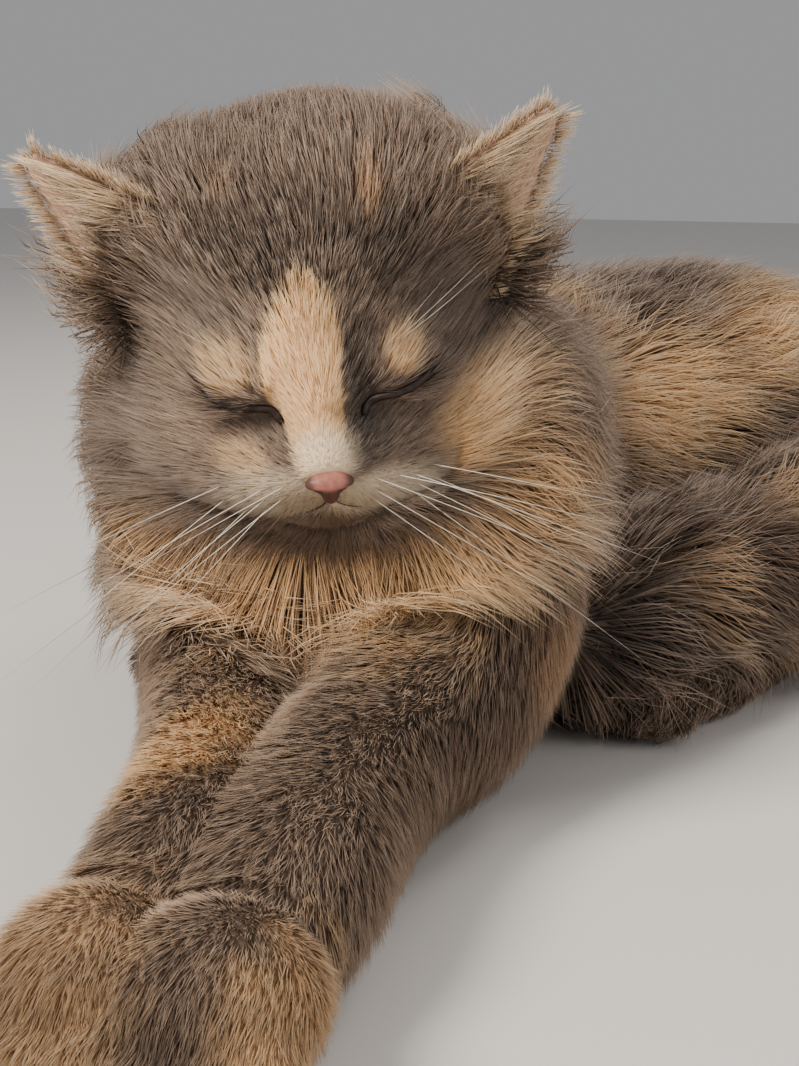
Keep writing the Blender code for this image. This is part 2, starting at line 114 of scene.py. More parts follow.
HINDLEG_RIGHT = (
    (-3.9, 9.4, 4.4, 0.8, 0.9, 1.0),
    (-4.1, 10.2, 4.4, 1.9, 2.0, 2.8),
    (-4.6, 12.6, 4.6, 2.7, 3.2, 3.8),
    (-4.8, 16.0, 4.9, 3.0, 3.8, 4.7),
    (-4.4, 20.0, 5.2, 3.2, 4.6, 5.0),
    (-3.0, 24.2, 5.6, 3.3, 5.0, 5.4),
    (-0.4, 27.8, 5.8, 3.0, 4.8, 5.4),
    (2.6, 30.4, 5.8, 2.2, 3.4, 4.2),
    (4.2, 31.6, 5.8, 1.0, 1.4, 1.8),
)
HINDFOOT_LEFT = (
    (14.2, 22.0, 1.3, 1.0, 0.9, 1.2),
    (13.8, 20.4, 1.5, 1.7, 1.5, 1.9),
    (12.8, 16.0, 1.6, 1.8, 1.6, 1.9),
    (11.8, 12.0, 1.6, 1.9, 1.6, 1.9),
    (11.4, 10.4, 1.6, 1.5, 1.2, 1.7),
)
HINDFOOT_RIGHT = (
    (-5.6, 21.6, 1.3, 1.0, 0.9, 1.2),
    (-6.0, 20.0, 1.5, 1.7, 1.5, 1.9),
    (-6.2, 15.6, 1.6, 1.8, 1.6, 1.9),
    (-6.0, 11.6, 1.6, 1.9, 1.6, 1.9),
    (-5.9, 10.0, 1.6, 1.5, 1.2, 1.7),
)
TAIL = (
    (13.6, 32.0, 6.0, 1.8, 1.8, 1.8),
    (15.4, 34.2, 5.0, 2.4, 2.4, 2.6),
    (18.0, 35.4, 3.6, 2.7, 2.6, 3.0),
    (21.0, 34.2, 2.8, 2.9, 2.7, 3.0),
    (22.9, 31.0, 2.7, 3.0, 2.7, 3.0),
    (23.3, 27.0, 2.6, 3.0, 2.7, 3.0),
    (22.7, 23.0, 2.6, 3.0, 2.7, 3.0),
    (21.5, 19.2, 2.5, 2.8, 2.6, 2.8),
    (20.0, 15.8, 2.2, 2.2, 2.1, 2.5),
    (18.8, 13.4, 1.8, 1.2, 1.3, 2.0),
)
PAW_LEFT, PAW_RIGHT = (7.25, -16.2, 2.15), (4.2, -15.8, 2.0)
HINDPAW_LEFT, HINDPAW_RIGHT = (11.2, 10.0, 1.5), (-5.8, 9.4, 1.5)
PAW_TOES = ((-1.65, -1.9), (-0.6, -2.75), (0.6, -2.75), (1.65, -1.9))
TOE_RADII = (0.95, 1.45, 1.15)
PAW_RADII = (2.65, 3.1, 2.25)

# The head in its own axes: the nose at -Y, the crown at +Z.
HEAD_AT = (2.35, 0.8, 14.0)
HEAD_YAW, HEAD_PITCH, HEAD_ROLL = math.radians(26.6), math.radians(26), math.radians(-5.7)
HEAD_CENTRE = (0.0, -1.4, -0.4)
FACE_CENTRE = (0.0, -5.2, -0.6)
FACE_FUR, CROWN_FUR = 0.22, 1.45
FACE_REACH, CROWN_REACH = 3.2, 7.4
HEAD_BLEND = 1.1
# centre, radii, on both sides
HEAD_FORMS = (
    ((0.0, 1.0, 1.0), (4.15, 4.6, 3.9), False),
    ((2.4, 2.2, 2.6), (2.0, 2.2, 1.7), True),
    ((2.8, 1.6, 2.6), (1.9, 2.1, 1.6), True),
    ((0.5, 1.2, 3.0), (2.9, 3.2, 2.15), False),
    ((2.2, -1.3, -1.1), (2.3, 2.5, 2.2), True),
    ((2.5, -1.7, -2.1), (2.0, 2.0, 1.5), True),
    ((0.0, -3.9, -1.5), (1.7, 1.4, 1.1), False),
    ((0.92, -4.65, -1.72), (0.95, 0.85, 0.72), True),
    ((1.95, -3.6, -1.8), (1.55, 1.45, 1.05), True),
    ((0.0, -3.5, 0.35), (0.9, 1.25, 0.9), False),
    ((0.0, -4.95, -0.8), (0.55, 0.7, 0.45), False),
    ((0.0, -4.4, -2.65), (0.85, 0.75, 0.55), False),
    ((2.05, -2.6, 0.3), (1.2, 1.15, 1.05), True),
)
LID_FORM = ((2.05, -3.30, 0.40), (1.20, 0.80, 0.72))
LID_BLEND = 0.22
LID_LINE = ((1.16, -4.5, -0.14), (1.34, -4.4, 0.08), (1.62, -4.3, 0.22), (2.15, -4.05, 0.30), (2.65, -3.7, 0.50), (3.15, -3.2, 0.80))
MOUTH_HALF = ((0.0, -6.0, -1.95), (0.35, -5.9, -2.25), (0.95, -5.5, -2.5), (1.6, -4.8, -2.6), (2.3, -4.0, -2.35))
PHILTRUM = ((0.0, -6.0, -1.4), (0.0, -6.0, -1.7), (0.0, -5.95, -2.05))
NOSE_CENTRE, NOSE_RADII = (0.0, -5.98, -1.08), (0.66, 0.34, 0.27)
NOSE_FOOT, NOSE_FOOT_RADII = (0.0, -5.94, -1.36), (0.26, 0.32, 0.40)
NOSTRIL, NOSTRIL_RADII = (0.37, -6.38, -1.20), (0.17, 0.16, 0.09)
EAR_ROOT = (3.69, -0.04, 1.79)
EAR_FRONT = (4.2, -1.0, 2.9)
EAR_AXIS = (0.663, 0.184, 0.725)
EAR_FACING = (0.19, -0.98, 0.07)
EAR_LENGTH, EAR_HALF_WIDTH, EAR_TIP = 5.35, 2.15, 0.20
EAR_CUP, EAR_THICK, EAR_SUNK = 1.2, 0.44, 0.8
EAR_ARC = math.radians(72)

# The skin.
VOXEL = 0.0021
SKIN_FLOOR = 0.10  # how far the skin stays above the floor
RANDOM = np.random.default_rng(7)


def smooth(low, high, value):
    """0 below low, 1 above high, and an even curve between them."""
    t = np.clip((value - low) / (high - low), 0.0, 1.0)
    return t * t * (3 - 2 * t)


def unit(vectors):
    return vectors / np.maximum(np.linalg.norm(vectors, axis=-1, keepdims=True), 1e-9)


def ripple(points, size, seed):
    """A smooth uneven field between about -1 and 1, its waves about this size."""
    draw = np.random.default_rng(seed)
    total = np.zeros(len(points))
    for _ in range(9):
        way = unit(draw.normal(size=3)) * draw.uniform(0.7, 1.6) * 2 * math.pi / size
        total += np.sin(points @ way + draw.uniform(0, 2 * math.pi))
    return total / 3.2


def curve_through(stations, count):
    """Count rows along the Catmull-Rom curve through the stations."""
    rows = np.array(stations, float)
    rows = np.vstack((2 * rows[0] - rows[1], rows, 2 * rows[-1] - rows[-2]))
    found = []
    for place in np.linspace(0, len(stations) - 1, count):
        i = min(int(place), len(stations) - 2)
        t = place - i
        a, b, c, d = rows[i : i + 4]
        found.append(0.5 * (2 * b + (c - a) * t + (2 * a - 5 * b + 4 * c - d) * t**2 + (3 * b - a - 3 * c + d) * t**3))
    return np.array(found)


def tube(stations, sides, rings, grow, level=False, power=2.3):
    """Points and faces of a closed tube through the stations."""
    rows = curve_through(stations, rings)
    path = rows[:, :3]
    along = unit(np.gradient(path, axis=0))
    points = []
    for middle, ahead, size in zip(path, along, rows[:, 3:]):
        width, rise, drop = np.maximum(size + grow, 0.35 * size)
        side = np.cross(ahead, (0, 0, 1)) if level else np.array((1.0, 0, 0)) - ahead[0] * ahead
        side = unit(side)
        up = np.cross(side, ahead)
        up *= 1 if up[2] > 0 or (abs(up[2]) < 0.2 and up[1] < 0) else -1
        for k in range(sides):
            turn = 2 * math.pi * k / sides
            c, s = math.cos(turn), math.sin(turn)
            across = math.copysign(abs(c) ** (2 / power), c) * width
            height = math.copysign(abs(s) ** (2 / power), s) * (rise if s > 0 else drop)
            points.append(middle + side * across + up * height)
    last = (rings - 1) * sides
    faces = [
        (r + k, r + (k + 1) % sides, r + sides + (k + 1) % sides, r + sides + k)
        for r in range(0, last, sides)
        for k in range(sides)
    ]
    points += [path[0], path[-1]]
    faces += [(k, len(points) - 2, (k + 1) % sides) for k in range(sides)]
    faces += [(last + (k + 1) % sides, len(points) - 1, last + k) for k in range(sides)]
    return np.array(points), faces


def ball(centre, radii, turn=None, level=3):
    work = bmesh.new()
    bmesh.ops.create_icosphere(work, subdivisions=level, radius=1.0)
    points = np.array([v.co for v in work.verts]) * radii
    faces = [tuple(v.index for v in f.verts) for f in work.faces]
    work.free()
    if turn is not None:
        points = points @ np.array(turn).T
    return points + centre, faces


HEAD_TURN = np.array(
    Matrix.Rotation(HEAD_YAW, 3, "Z") @ Matrix.Rotation(HEAD_PITCH, 3, "X") @ Matrix.Rotation(HEAD_ROLL, 3, "Y")
)


def in_model(points):
    return np.asarray(points, float) @ HEAD_TURN.T + HEAD_AT


def in_head(points):
    return (np.asarray(points, float) - HEAD_AT) @ HEAD_TURN


def ellipsoid(points, centre, radii):
    """Roughly the signed distance from an ellipsoid."""
    offset = (points - centre) / radii
    near = np.linalg.norm(offset, axis=-1)
    slope = np.linalg.norm(offset / radii, axis=-1)
    return near * (near - 1) / np.maximum(slope, 1e-9)


def blended(total, form, blend):
    share = np.clip(0.5 + 0.5 * (total - form) / blend, 0, 1)
    return total + (form - total) * share - blend * share * (1 - share)


def head_distance(points, lids=True):
    """Signed distance from the head's skin, its forms blended together."""
    total = np.full(points.shape[:-1], 100.0)
    for centre, radii, both in HEAD_FORMS:
        for side in (1, -1) if both else (1,):
            total = blended(total, ellipsoid(points, np.multiply(centre, (side, 1, 1)), radii), HEAD_BLEND)
    if lids:
        for side in (1, -1):
            centre = np.multiply(LID_FORM[0], (side, 1, 1))
            total = blended(total, ellipsoid(points, centre, LID_FORM[1]), LID_BLEND)
    return total


def cast_from_head(directions, lift=0.0):
    low, high = np.zeros(len(directions)), np.full(len(directions), 11.0)
    for _ in range(24):
        middle = (low + high) / 2
        outside = head_distance(directions * middle[:, None] + HEAD_CENTRE) > lift
        high, low = np.where(outside, middle, high), np.where(outside, low, middle)
    return directions * high[:, None] + HEAD_CENTRE


def on_head(places, lift=0.0):
    return cast_from_head(unit(np.array(places, float) - HEAD_CENTRE), lift)


def head_surface(sides, rings):
    polar = math.pi * np.linspace(0, 1, rings + 2)[1:-1] ** 1.3
    rows = [(0.0, -1.0, 0.0)]
    for angle in polar:
        for k in range(sides):
            turn = 2 * math.pi * k / sides
            rows.append((math.sin(angle) * math.sin(turn), -math.cos(angle), math.sin(angle) * math.cos(turn)))
    rows.append((0.0, 1.0, 0.0))
    points = in_model(cast_from_head(np.array(rows)))
    last = 1 + (rings - 1) * sides
    faces = [(0, 1 + k, 1 + (k + 1) % sides) for k in range(sides)]
    faces += [
        (r + k, r + sides + k, r + sides + (k + 1) % sides, r + (k + 1) % sides)
        for r in range(1, last, sides)
        for k in range(sides)
    ]
    faces += [(last + (k + 1) % sides, last + k, len(points) - 1) for k in range(sides)]
    return points, faces


class Ear:
    """The cupped shell of one ear: places on it from u, across from -1 to 1, and v, root to tip."""

    def __init__(self, side):
        axis = unit(np.array(EAR_AXIS))
        facing = np.array(EAR_FACING)
        facing = unit(facing - facing @ axis * axis)
        self.side, self.axis, self.facing = side, axis, facing
        self.width_way = np.cross(facing, axis)

    def at(self, u, v, out=0.0):
        u, v = np.broadcast_arrays(np.asarray(u, float), np.asarray(v, float))
        half = EAR_TIP + (EAR_HALF_WIDTH - EAR_TIP) * (1 - np.clip(v, 0, 1) ** 1.25) ** 0.9
        sweep = u * EAR_ARC
        cup = EAR_CUP * (1 - np.clip(v, 0, 1)) ** 0.7 * (np.cos(sweep) - math.cos(EAR_ARC))
        away = self.facing * np.cos(sweep)[..., None] - self.width_way * np.sin(sweep)[..., None]
        points = (
            np.array(EAR_ROOT)
            + self.axis * (v * (EAR_LENGTH + EAR_SUNK) - EAR_SUNK)[..., None]
            + self.width_way * (half * np.sin(sweep) / math.sin(EAR_ARC))[..., None]
            - self.facing * cup[..., None]
            + away * np.asarray(out)[..., None]
        )
        return in_model(points * (self.side, 1, 1))

    def shell(self, across=28, rows=36):
        u = np.linspace(-1, 1, across + 1)[None, :].repeat(rows + 1, 0)
        v = np.linspace(0, 1, rows + 1)[:, None].repeat(across + 1, 1)
        thick = EAR_THICK * (0.62 + 0.38 * (1 - np.abs(u) ** 3)) * (0.7 + 0.3 * (1 - v))
        front = self.at(u, v, thick / 2).reshape(-1, 3)
        back = self.at(u, v, -thick / 2).reshape(-1, 3)
        step, count, faces = across + 1, len(front), []
        for j in range(rows):
            for i in range(across):
                a, b, c, d = (j * step + i, j * step + i + 1, (j + 1) * step + i + 1, (j + 1) * step + i)
                faces += [(a, b, c, d), (count + d, count + c, count + b, count + a)]
        rim = list(range(step)) + [j * step + across for j in range(1, rows + 1)]
        rim += [rows * step + i for i in range(across - 1, -1, -1)] + [j * step for j in range(rows - 1, 0, -1)]
        faces += [(a, count + a, count + b, b) for a, b in zip(rim, rim[1:] + rim[:1])]
        return np.vstack((front, back)), faces


EARS = {"left": Ear(1), "right": Ear(-1)}


def paw_forms(centre, heading, size, shrink):
    turn = Matrix.Rotation(heading, 3, "Z")
    forms = [ball(centre, [r * size - shrink for r in PAW_RADII], turn)]
    for x, y in PAW_TOES:
        place = Vector(centre) + turn @ Vector((x * size, y * size, -0.55 * size))
        forms.append(ball(place, [r * size - shrink * 0.7 for r in TOE_RADII], turn))
    return forms


# name, stations, how far the skin lies inside the sizes above, whether its sections stay level
TUBES = (
    ("torso", TORSO, 0.85, False),
    ("neck", NECK, 0.95, False),
    ("foreleg_left", FORELEG_LEFT, 0.55, False),
    ("foreleg_right", FORELEG_RIGHT, 0.55, False),
    ("hindleg_left", HINDLEG_LEFT, 0.85, False),
    ("hindleg_right", HINDLEG_RIGHT, 0.85, False),
    ("hindfoot_left", HINDFOOT_LEFT, 0.35, False),
    ("hindfoot_right", HINDFOOT_RIGHT, 0.35, False),
    ("tail", TAIL, 1.1, True),
)
PAWS = (
    ("forepaw_left", PAW_LEFT, math.radians(6), 1.0, 0.40),
    ("forepaw_right", PAW_RIGHT, math.radians(10), 0.95, 0.40),
    ("hindpaw_left", HINDPAW_LEFT, math.radians(-15), 0.72, 0.30),
    ("hindpaw_right", HINDPAW_RIGHT, 0.0, 0.72, 0.30),
)


def mesh_object(name, points, faces):
    """A mesh object from places in centimetres."""
    mesh = bpy.data.meshes.new(name)
    mesh.from_pydata([tuple(p) for p in (np.asarray(points) - ORIGIN) * CM], [], faces)
    body = bpy.data.objects.new(name, mesh)
    bpy.context.scene.collection.objects.link(body)
    return body


def outward(body):
    work = bmesh.new()
    work.from_mesh(body.data)
    bmesh.ops.recalc_face_normals(work, faces=work.faces)
    work.to_mesh(body.data)
    work.free()


def applied(body):
    bpy.context.view_layer.update()
    graph = bpy.context.evaluated_depsgraph_get()
    mesh = bpy.data.meshes.new_from_object(body.evaluated_get(graph))
    body.modifiers.clear()
    old, body.data = body.data, mesh
    bpy.data.meshes.remove(old)


def coordinates(mesh):
    """The mesh's points in centimetres of the model."""
    co = np.empty(len(mesh.vertices) * 3, np.float32)
    mesh.vertices.foreach_get("co", co)
    return co.reshape(-1, 3).astype(float) / CM + ORIGIN


def set_coordinates(mesh, points):
    mesh.vertices.foreach_set("co", ((points - ORIGIN) * CM).astype(np.float32).ravel())
    mesh.update()


def edge_pairs(mesh):
    pairs = np.empty(len(mesh.edges) * 2, np.int32)
    mesh.edges.foreach_get("vertices", pairs)
    return pairs.reshape(-1, 2)


def relaxed(values, pairs, share, rounds):
    """Values evened out over the mesh, each vertex by its share."""
    a, b = pairs.T
    n = len(values)
    values = values.reshape(n, -1).copy()
    count = np.maximum(np.bincount(a, minlength=n) + np.bincount(b, minlength=n), 1)[:, None]
    share = np.broadcast_to(share, n)[:, None]
    for _ in range(rounds):
        mean = np.stack(
            [np.bincount(a, values[b, k], n) + np.bincount(b, values[a, k], n) for k in range(values.shape[1])], 1
        )
        values += share * (mean / count - values)
    return values.squeeze()


def nearest_line(points, line):
    """Distance of each point from a polyline and how far along it the nearest place is."""
    best, along = np.full(len(points), 1e9), np.zeros(len(points))
    for i in range(len(line) - 1):
        a, b = line[i], line[i + 1]
        t = np.clip((points - a) @ (b - a) / ((b - a) @ (b - a)), 0, 1)
        d = np.linalg.norm(points - a - t[:, None] * (b - a), axis=1)
        closer = d < best
        best, along = np.where(closer, d, best), np.where(closer, (i + t) / (len(line) - 1), along)
    return best, along


def lines_on_head():
    """The lines of lids, mouth and lip on the head's skin, with half width and depth."""
    found = []
    for side in (1, -1):
        found.append((on_head(curve_through([(side * x, y, z) for x, y, z in LID_LINE], 24)), 0.075, 0.10))
    mouth = [(-x, y, z) for x, y, z in MOUTH_HALF[:0:-1]] + list(MOUTH_HALF)
    found.append((on_head(curve_through(mouth, 36)), 0.10, 0.13))
    found.append((on_head(curve_through(PHILTRUM, 8)), 0.06, 0.08))
    return found


LINES = lines_on_head()


def make_skin():
    """One closed skin through body, head and ears."""
    points, faces = [], []

    def add(form):
        base = sum(len(p) for p in points)
        points.append(form[0])
        faces.extend(tuple(base + i for i in face) for face in form[1])

    for _, stations, depth, level in TUBES:
        add(tube(stations, 40, 60, -depth, level))
    for _, centre, heading, size, shrink in PAWS:
        for form in paw_forms(centre, heading, size, shrink):
            add(form)
    add(head_surface(110, 80))
    for ear in EARS.values():
        add(ear.shell())
    skin = mesh_object("skin", np.vstack(points), faces)
    outward(skin)
    remesh = skin.modifiers.new("one", "REMESH")
    remesh.mode, remesh.voxel_size = "VOXEL", VOXEL
    applied(skin)
    places = coordinates(skin.data)
    local = in_head(places)
    distance = np.abs(head_distance(local))
    near_ear = np.min([np.linalg.norm(local - np.array(EAR_ROOT) * (s, 1, 1) - np.array(EAR_AXIS) * (s, 1, 1) * 2.6, axis=1) for s in (1, -1)], axis=0)
    loose = smooth(0.12, 0.5, distance) * smooth(2.0, 4.2, near_ear)
    places = relaxed(places, edge_pairs(skin.data), 0.5 * loose + 0.12, 8)
    places[:, 2] = np.maximum(places[:, 2], SKIN_FLOOR)
    set_coordinates(skin.data, places)
    refine_face(skin)
    return skin


def refine_face(skin):
    """Smaller faces on the face, set on the head's own form, with the lines of lids and mouth."""
    for reach in (4.6, 3.6):
        work = bmesh.new()
        work.from_mesh(skin.data)
        local = in_head(np.array([v.co for v in work.verts]) / CM + ORIGIN)
        chosen = np.linalg.norm((local - (0.0, -4.6, -0.6)) / (1.0, 1.0, 0.9), axis=1) < reach
        work.verts.ensure_lookup_table()
        edges = [e for e in work.edges if chosen[e.verts[0].index] and chosen[e.verts[1].index]]
        bmesh.ops.subdivide_edges(work, edges=edges, cuts=1, use_grid_fill=True)
        work.to_mesh(skin.data)
        work.free()
    places = coordinates(skin.data)
    local = in_head(places)
    share = smooth(0.30, 0.10, np.abs(head_distance(local))) * smooth(3.4, 2.2, local[:, 2]) * smooth(1.5, 0.0, local[:, 1])
    for _ in range(3):
        step = 0.01
        value = head_distance(local)
        slope = np.stack([head_distance(local + np.eye(3)[k] * step) - value for k in range(3)], 1) / step
        local = local - slope * (value / np.maximum((slope**2).sum(1), 0.2) * share)[:, None]
    slope = unit(slope)
    for line, half_width, depth in LINES:
        off, along = nearest_line(local, line)
        ends = smooth(0, 0.15, along) * smooth(1, 0.85, along) * 0.7 + 0.3
        local = local - slope * (depth * ends * np.exp(-((off / half_width) ** 2)) * (share > 0.2))[:, None]
    set_coordinates(skin.data, in_model(local))


# Fur, region by region: length, height of its tips above the skin, width, strands on a square
# centimetre. Centimetres.
FUR = {
    "face": (0.72, 0.22, 0.026, 400),
    "head": (1.9, 1.15, 0.034, 140),
    "ear": (0.55, 0.10, 0.030, 150),
    "neck": (4.0, 2.2, 0.036, 92),
    "torso": (4.0, 2.05, 0.050, 31),
    "foreleg": (1.25, 0.62, 0.036, 125),
    "forepaw": (0.85, 0.40, 0.034, 170),
    "hindleg": (3.6, 1.95, 0.049, 32),
    "hindfoot": (1.0, 0.5, 0.045, 70),
    "hindpaw": (0.8, 0.4, 0.040, 90),
    "tail": (4.0, 2.15, 0.062, 19),
}
CHEEK = (1.9, 1.0, 0.010)  # what the cheeks add to the first three
FACE_ON_BODY = np.array((4.2, -3.2, 11.6))
NOSE_AHEAD = np.array((0.0, -7.0, -0.9))


def region_of(places):
    """For each place the name of its part, and the way that its coat lies."""
    local = in_head(places)
    names = np.full(len(places), "torso", dtype=object)
    lie = np.zeros((len(places), 3))
    best = np.full(len(places), 1e9)
    for name, stations, depth, level in TUBES:
        rows = curve_through(stations, 80)
        path = rows[:, :3]
        ahead = unit(np.gradient(path, axis=0))
        size = rows[:, 3:].mean(1) - depth
        gap = np.linalg.norm(places[:, None, :] - path[None, :, :], axis=2) / np.maximum(size, 0.8)[None, :]
        near = gap.argmin(1)
        value = gap[np.arange(len(places)), near]
        closer = value < best
        best = np.where(closer, value, best)
        names[closer] = name.split("_")[0]
        beside = unit(places - path[near])
        flow = ahead[near] + beside * 0.1
        sag = {"torso": 0.8, "neck": 0.0, "hindleg": 0.7, "tail": 0.15, "foreleg": 0.35}.get(name.split("_")[0], 0.2)
        flow = flow + np.array((0, 0, -1.0)) * sag * (1 - np.clip(beside[:, 2:3], 0, 1))
        lie[closer] = flow[closer]
    for name, centre, heading, size, shrink in PAWS:
        toes = np.array((math.sin(heading), -math.cos(heading), 0.0))
        gap = np.linalg.norm((places - centre + toes * -0.8) / (np.array(PAW_RADII) * size), axis=1)
        here = gap < 1.12
        names[here] = name.split("_")[0]
        away = unit(places - np.array(centre))
        lie[here] = (toes + away * 0.25 + (0, 0, -0.35))[here]
    neck = names == "neck"
    ruff = unit(places - FACE_ON_BODY) + (0, 0, -0.6)
    back = smooth(3.0, 8.0, places[:, 1])[:, None]
    lie[neck] = (ruff * (1 - back) + (np.array((0.1, 1.0, -0.15)) * back))[neck]
    distance = head_distance(local)
    on_it = distance < 0.45
    face = np.linalg.norm(local - FACE_CENTRE, axis=1)
    names[on_it] = "head"
    lie[on_it] = ((local - NOSE_AHEAD) @ HEAD_TURN.T)[on_it]
    for ear in EARS.values():
        root = np.array(EAR_ROOT) * (ear.side, 1, 1)
        axis = ear.axis * (ear.side, 1, 1)
        up = (local - root) @ axis
        here = (distance > 0.35) & (up > 0.2) & (np.linalg.norm(local - root - up[:, None] * axis, axis=1) < 3.4) & (local[:, 2] > 1.5)
        names[here] = "ear"
        lie[here] = (HEAD_TURN @ axis) + np.array((0, 0, 0.0))
    return names, lie, face


def fur_sizes(names, face, local):
    sizes = np.array([FUR[name] for name in names], float)
    head = names == "head"
    deep = smooth(FACE_REACH - 0.6, CROWN_REACH, face)[:, None]
    mixed = np.array(FUR["face"]) * (1 - deep) + np.array(FUR["head"]) * deep
    sizes[head] = mixed[head]
    cheek = smooth(2.9, 4.6, np.abs(local[:, 0])) * smooth(4.2, 1.8, local[:, 2]) * head
    sizes[:, :3] += cheek[:, None] * np.array(CHEEK)
    by_nose = np.linalg.norm(local - (0.0, -6.2, -1.1), axis=1)
    sizes[head, :2] *= (0.42 + 0.58 * smooth(0.5, 3.0, by_nose))[head, None]
    return sizes


# Markings.
BLAZE_HEIGHTS = (3.5, 3.0, 2.3, 1.3, 0.6, -0.1, -0.9)
BLAZE_RIGHT = (-0.30, -0.75, -1.25, -1.55, -1.50, -1.00, -0.75)
BLAZE_LEFT = (-0.20, 0.35, 0.72, 0.68, 0.62, 0.56, 0.60)
# on the head: kind, centre, radii, strength
HEAD_MARKS = (
    ("white", (0.0, -5.8, -0.6), (0.85, 1.5, 0.72), 1.0),
    ("cream", (-2.5, -3.9, 1.3), (0.75, 1.5, 0.55), 0.55),
    ("cream", (2.35, -3.6, 1.35), (0.55, 1.5, 0.50), 0.75),
    ("cream", (-2.2, -4.6, -0.9), (0.7, 1.4, 0.35), 0.45),
    ("dark", (1.15, -4.4, 1.2), (0.50, 2.4, 2.2), 1.0),
    ("dark", (1.35, -5.2, -0.4), (0.70, 1.5, 0.60), 0.85),
    ("dark", (-1.7, -2.6, 3.7), (1.6, 2.4, 0.85), 0.95),
    ("dark", (1.6, -2.6, 3.5), (1.4, 2.4, 1.0), 0.95),
    ("dark", (-3.2, -2.6, 2.6), (1.5, 2.4, 0.9), 0.75),
    ("dark", (3.4, -2.2, 2.2), (1.1, 2.4, 1.0), 0.55),
    ("dark", (0.0, -2.8, 4.3), (1.5, 2.4, 0.9), 0.70),
    ("dark", (-2.9, -3.4, 0.35), (1.5, 1.6, 0.35), 0.60),
    ("dark", (2.9, -3.4, 0.6), (1.4, 1.6, 0.35), 0.60),
    ("ginger", (1.77, -2.27, 4.95), (0.35, 1.6, 0.8), 0.75),
    ("ginger", (-2.1, -1.9, 5.05), (0.45, 1.6, 0.6), 0.45),
    ("white", (1.5, -5.4, -1.95), (1.7, 1.6, 0.70), 0.75),
    ("white", (-1.3, -5.5, -1.75), (1.5, 1.6, 0.75), 0.60),
    ("pale", (0.0, -5.2, -2.9), (1.2, 1.4, 0.5), 0.35),
    ("cream", (5.4, -3.6, -1.2), (2.4, 3.0, 1.2), 1.0),
    ("pale", (-5.0, -2.6, -0.6), (1.9, 3.0, 2.2), 0.35),
    ("pale", (5.2, -1.8, 1.8), (2.0, 3.0, 2.0), 0.25),
)
# on the body
BODY_MARKS = (
    ("cream", (4.0, -2.6, 8.0), (6.2, 4.5, 2.2), 0.85),
    ("cream", (8.3, -1.2, 10.2), (3.0, 3.5, 1.9), 0.75),
    ("pale", (-3.0, -2.0, 8.6), (3.0, 3.5, 3.4), 0.55),
    ("pale", (9.6, 1.0, 10.6), (2.6, 3.5, 3.2), 0.50),
    ("cream", (2.6, -8.2, 4.6), (1.3, 2.6, 1.8), 0.85),
    ("cream", (3.5, -17.5, 2.6), (2.4, 3.2, 2.8), 0.42),
    ("pale", (1.0, -4.5, 5.0), (3.8, 7.0, 3.8), 0.80),
    ("cream", (9.9, -17.2, 1.9), (1.8, 3.2, 2.6), 0.62),
    ("cream", (4.9, -17.8, 1.6), (1.6, 3.0, 2.4), 0.50),
    ("dark", (8.2, -1.6, 6.2), (2.6, 3.0, 1.7), 0.50),
    ("ginger", (9.9, 1.9, 4.4), (1.5, 2.0, 1.6), 0.55),
    ("ginger", (13.8, 10.0, 6.2), (1.6, 2.6, 1.3), 0.55),
    ("dark", (12.2, 7.0, 4.8), (4.0, 5.5, 3.6), 0.55),
    ("cream", (10.4, 14.8, 10.6), (3.0, 5.0, 2.2), 0.90),
    ("cream", (12.4, 23.0, 11.6), (2.4, 6.0, 1.9), 0.75),
    ("dark", (6.0, 21.0, 14.2), (5.5, 12.0, 1.6), 0.55),
    ("pale", (6.6, -12.0, 3.2), (4.5, 6.5, 3.5), 0.35),
    ("cream", (-3.5, 18.0, 9.0), (3.0, 5.0, 3.0), 0.60),
    ("cream", (22.0, 29.0, 4.0), (2.6, 3.5, 3.0), 0.60),
)
KINDS = ("cream", "white", "dark", "ginger", "pale")


def marks_at(places):
    """How strong each kind of marking is at these places."""
    local = in_head(places)
    waves = ripple(places, 1.6, 3) * 0.6 + ripple(places, 0.6, 4) * 0.4
    strength = {kind: np.zeros(len(places)) for kind in KINDS}
    head = smooth(2.2, 0.8, head_distance(local, lids=False))
    for marks, points, on, ragged in ((HEAD_MARKS, local, head, 0.10), (BODY_MARKS, places, 1 - head, 0.28)):
        for kind, centre, radii, most in marks:
            off = np.linalg.norm((points - centre) / radii, axis=1) + waves * ragged
            strength[kind] = np.maximum(strength[kind], most * on * smooth(1.25 + ragged, 0.75 - ragged, off))
    x, z = local[:, 0] + waves * 0.05, local[:, 2]
    heights = BLAZE_HEIGHTS[::-1]
    low, high = np.interp(z, heights, BLAZE_RIGHT[::-1]), np.interp(z, heights, BLAZE_LEFT[::-1])
    blaze = smooth(-0.10, 0.14, x - low) * smooth(-0.05, 0.09, high - x) * smooth(3.55, 3.1, z) * smooth(-1.3, -0.9, z)
    blaze = blaze * head * (local[:, 1] < -1.5)
    for kind in ("dark", "ginger", "pale"):
        strength[kind] *= 1 - blaze
    strength["cream"] = np.maximum(strength["cream"], blaze)
    patch = smooth(0.35, 1.0, ripple(places, 7.0, 11)) * (1 - head) * smooth(6.0, 12.0, places[:, 1])
    strength["cream"] = np.maximum(strength["cream"], 0.45 * patch)
    strength["dark"] = np.maximum(strength["dark"], 0.22 * smooth(0.3, 1.0, ripple(places, 5.0, 12)))
    strength["pale"] = np.maximum(strength["pale"], 0.30 * smooth(0.2, 1.0, ripple(places, 2.5, 13)))
    return strength


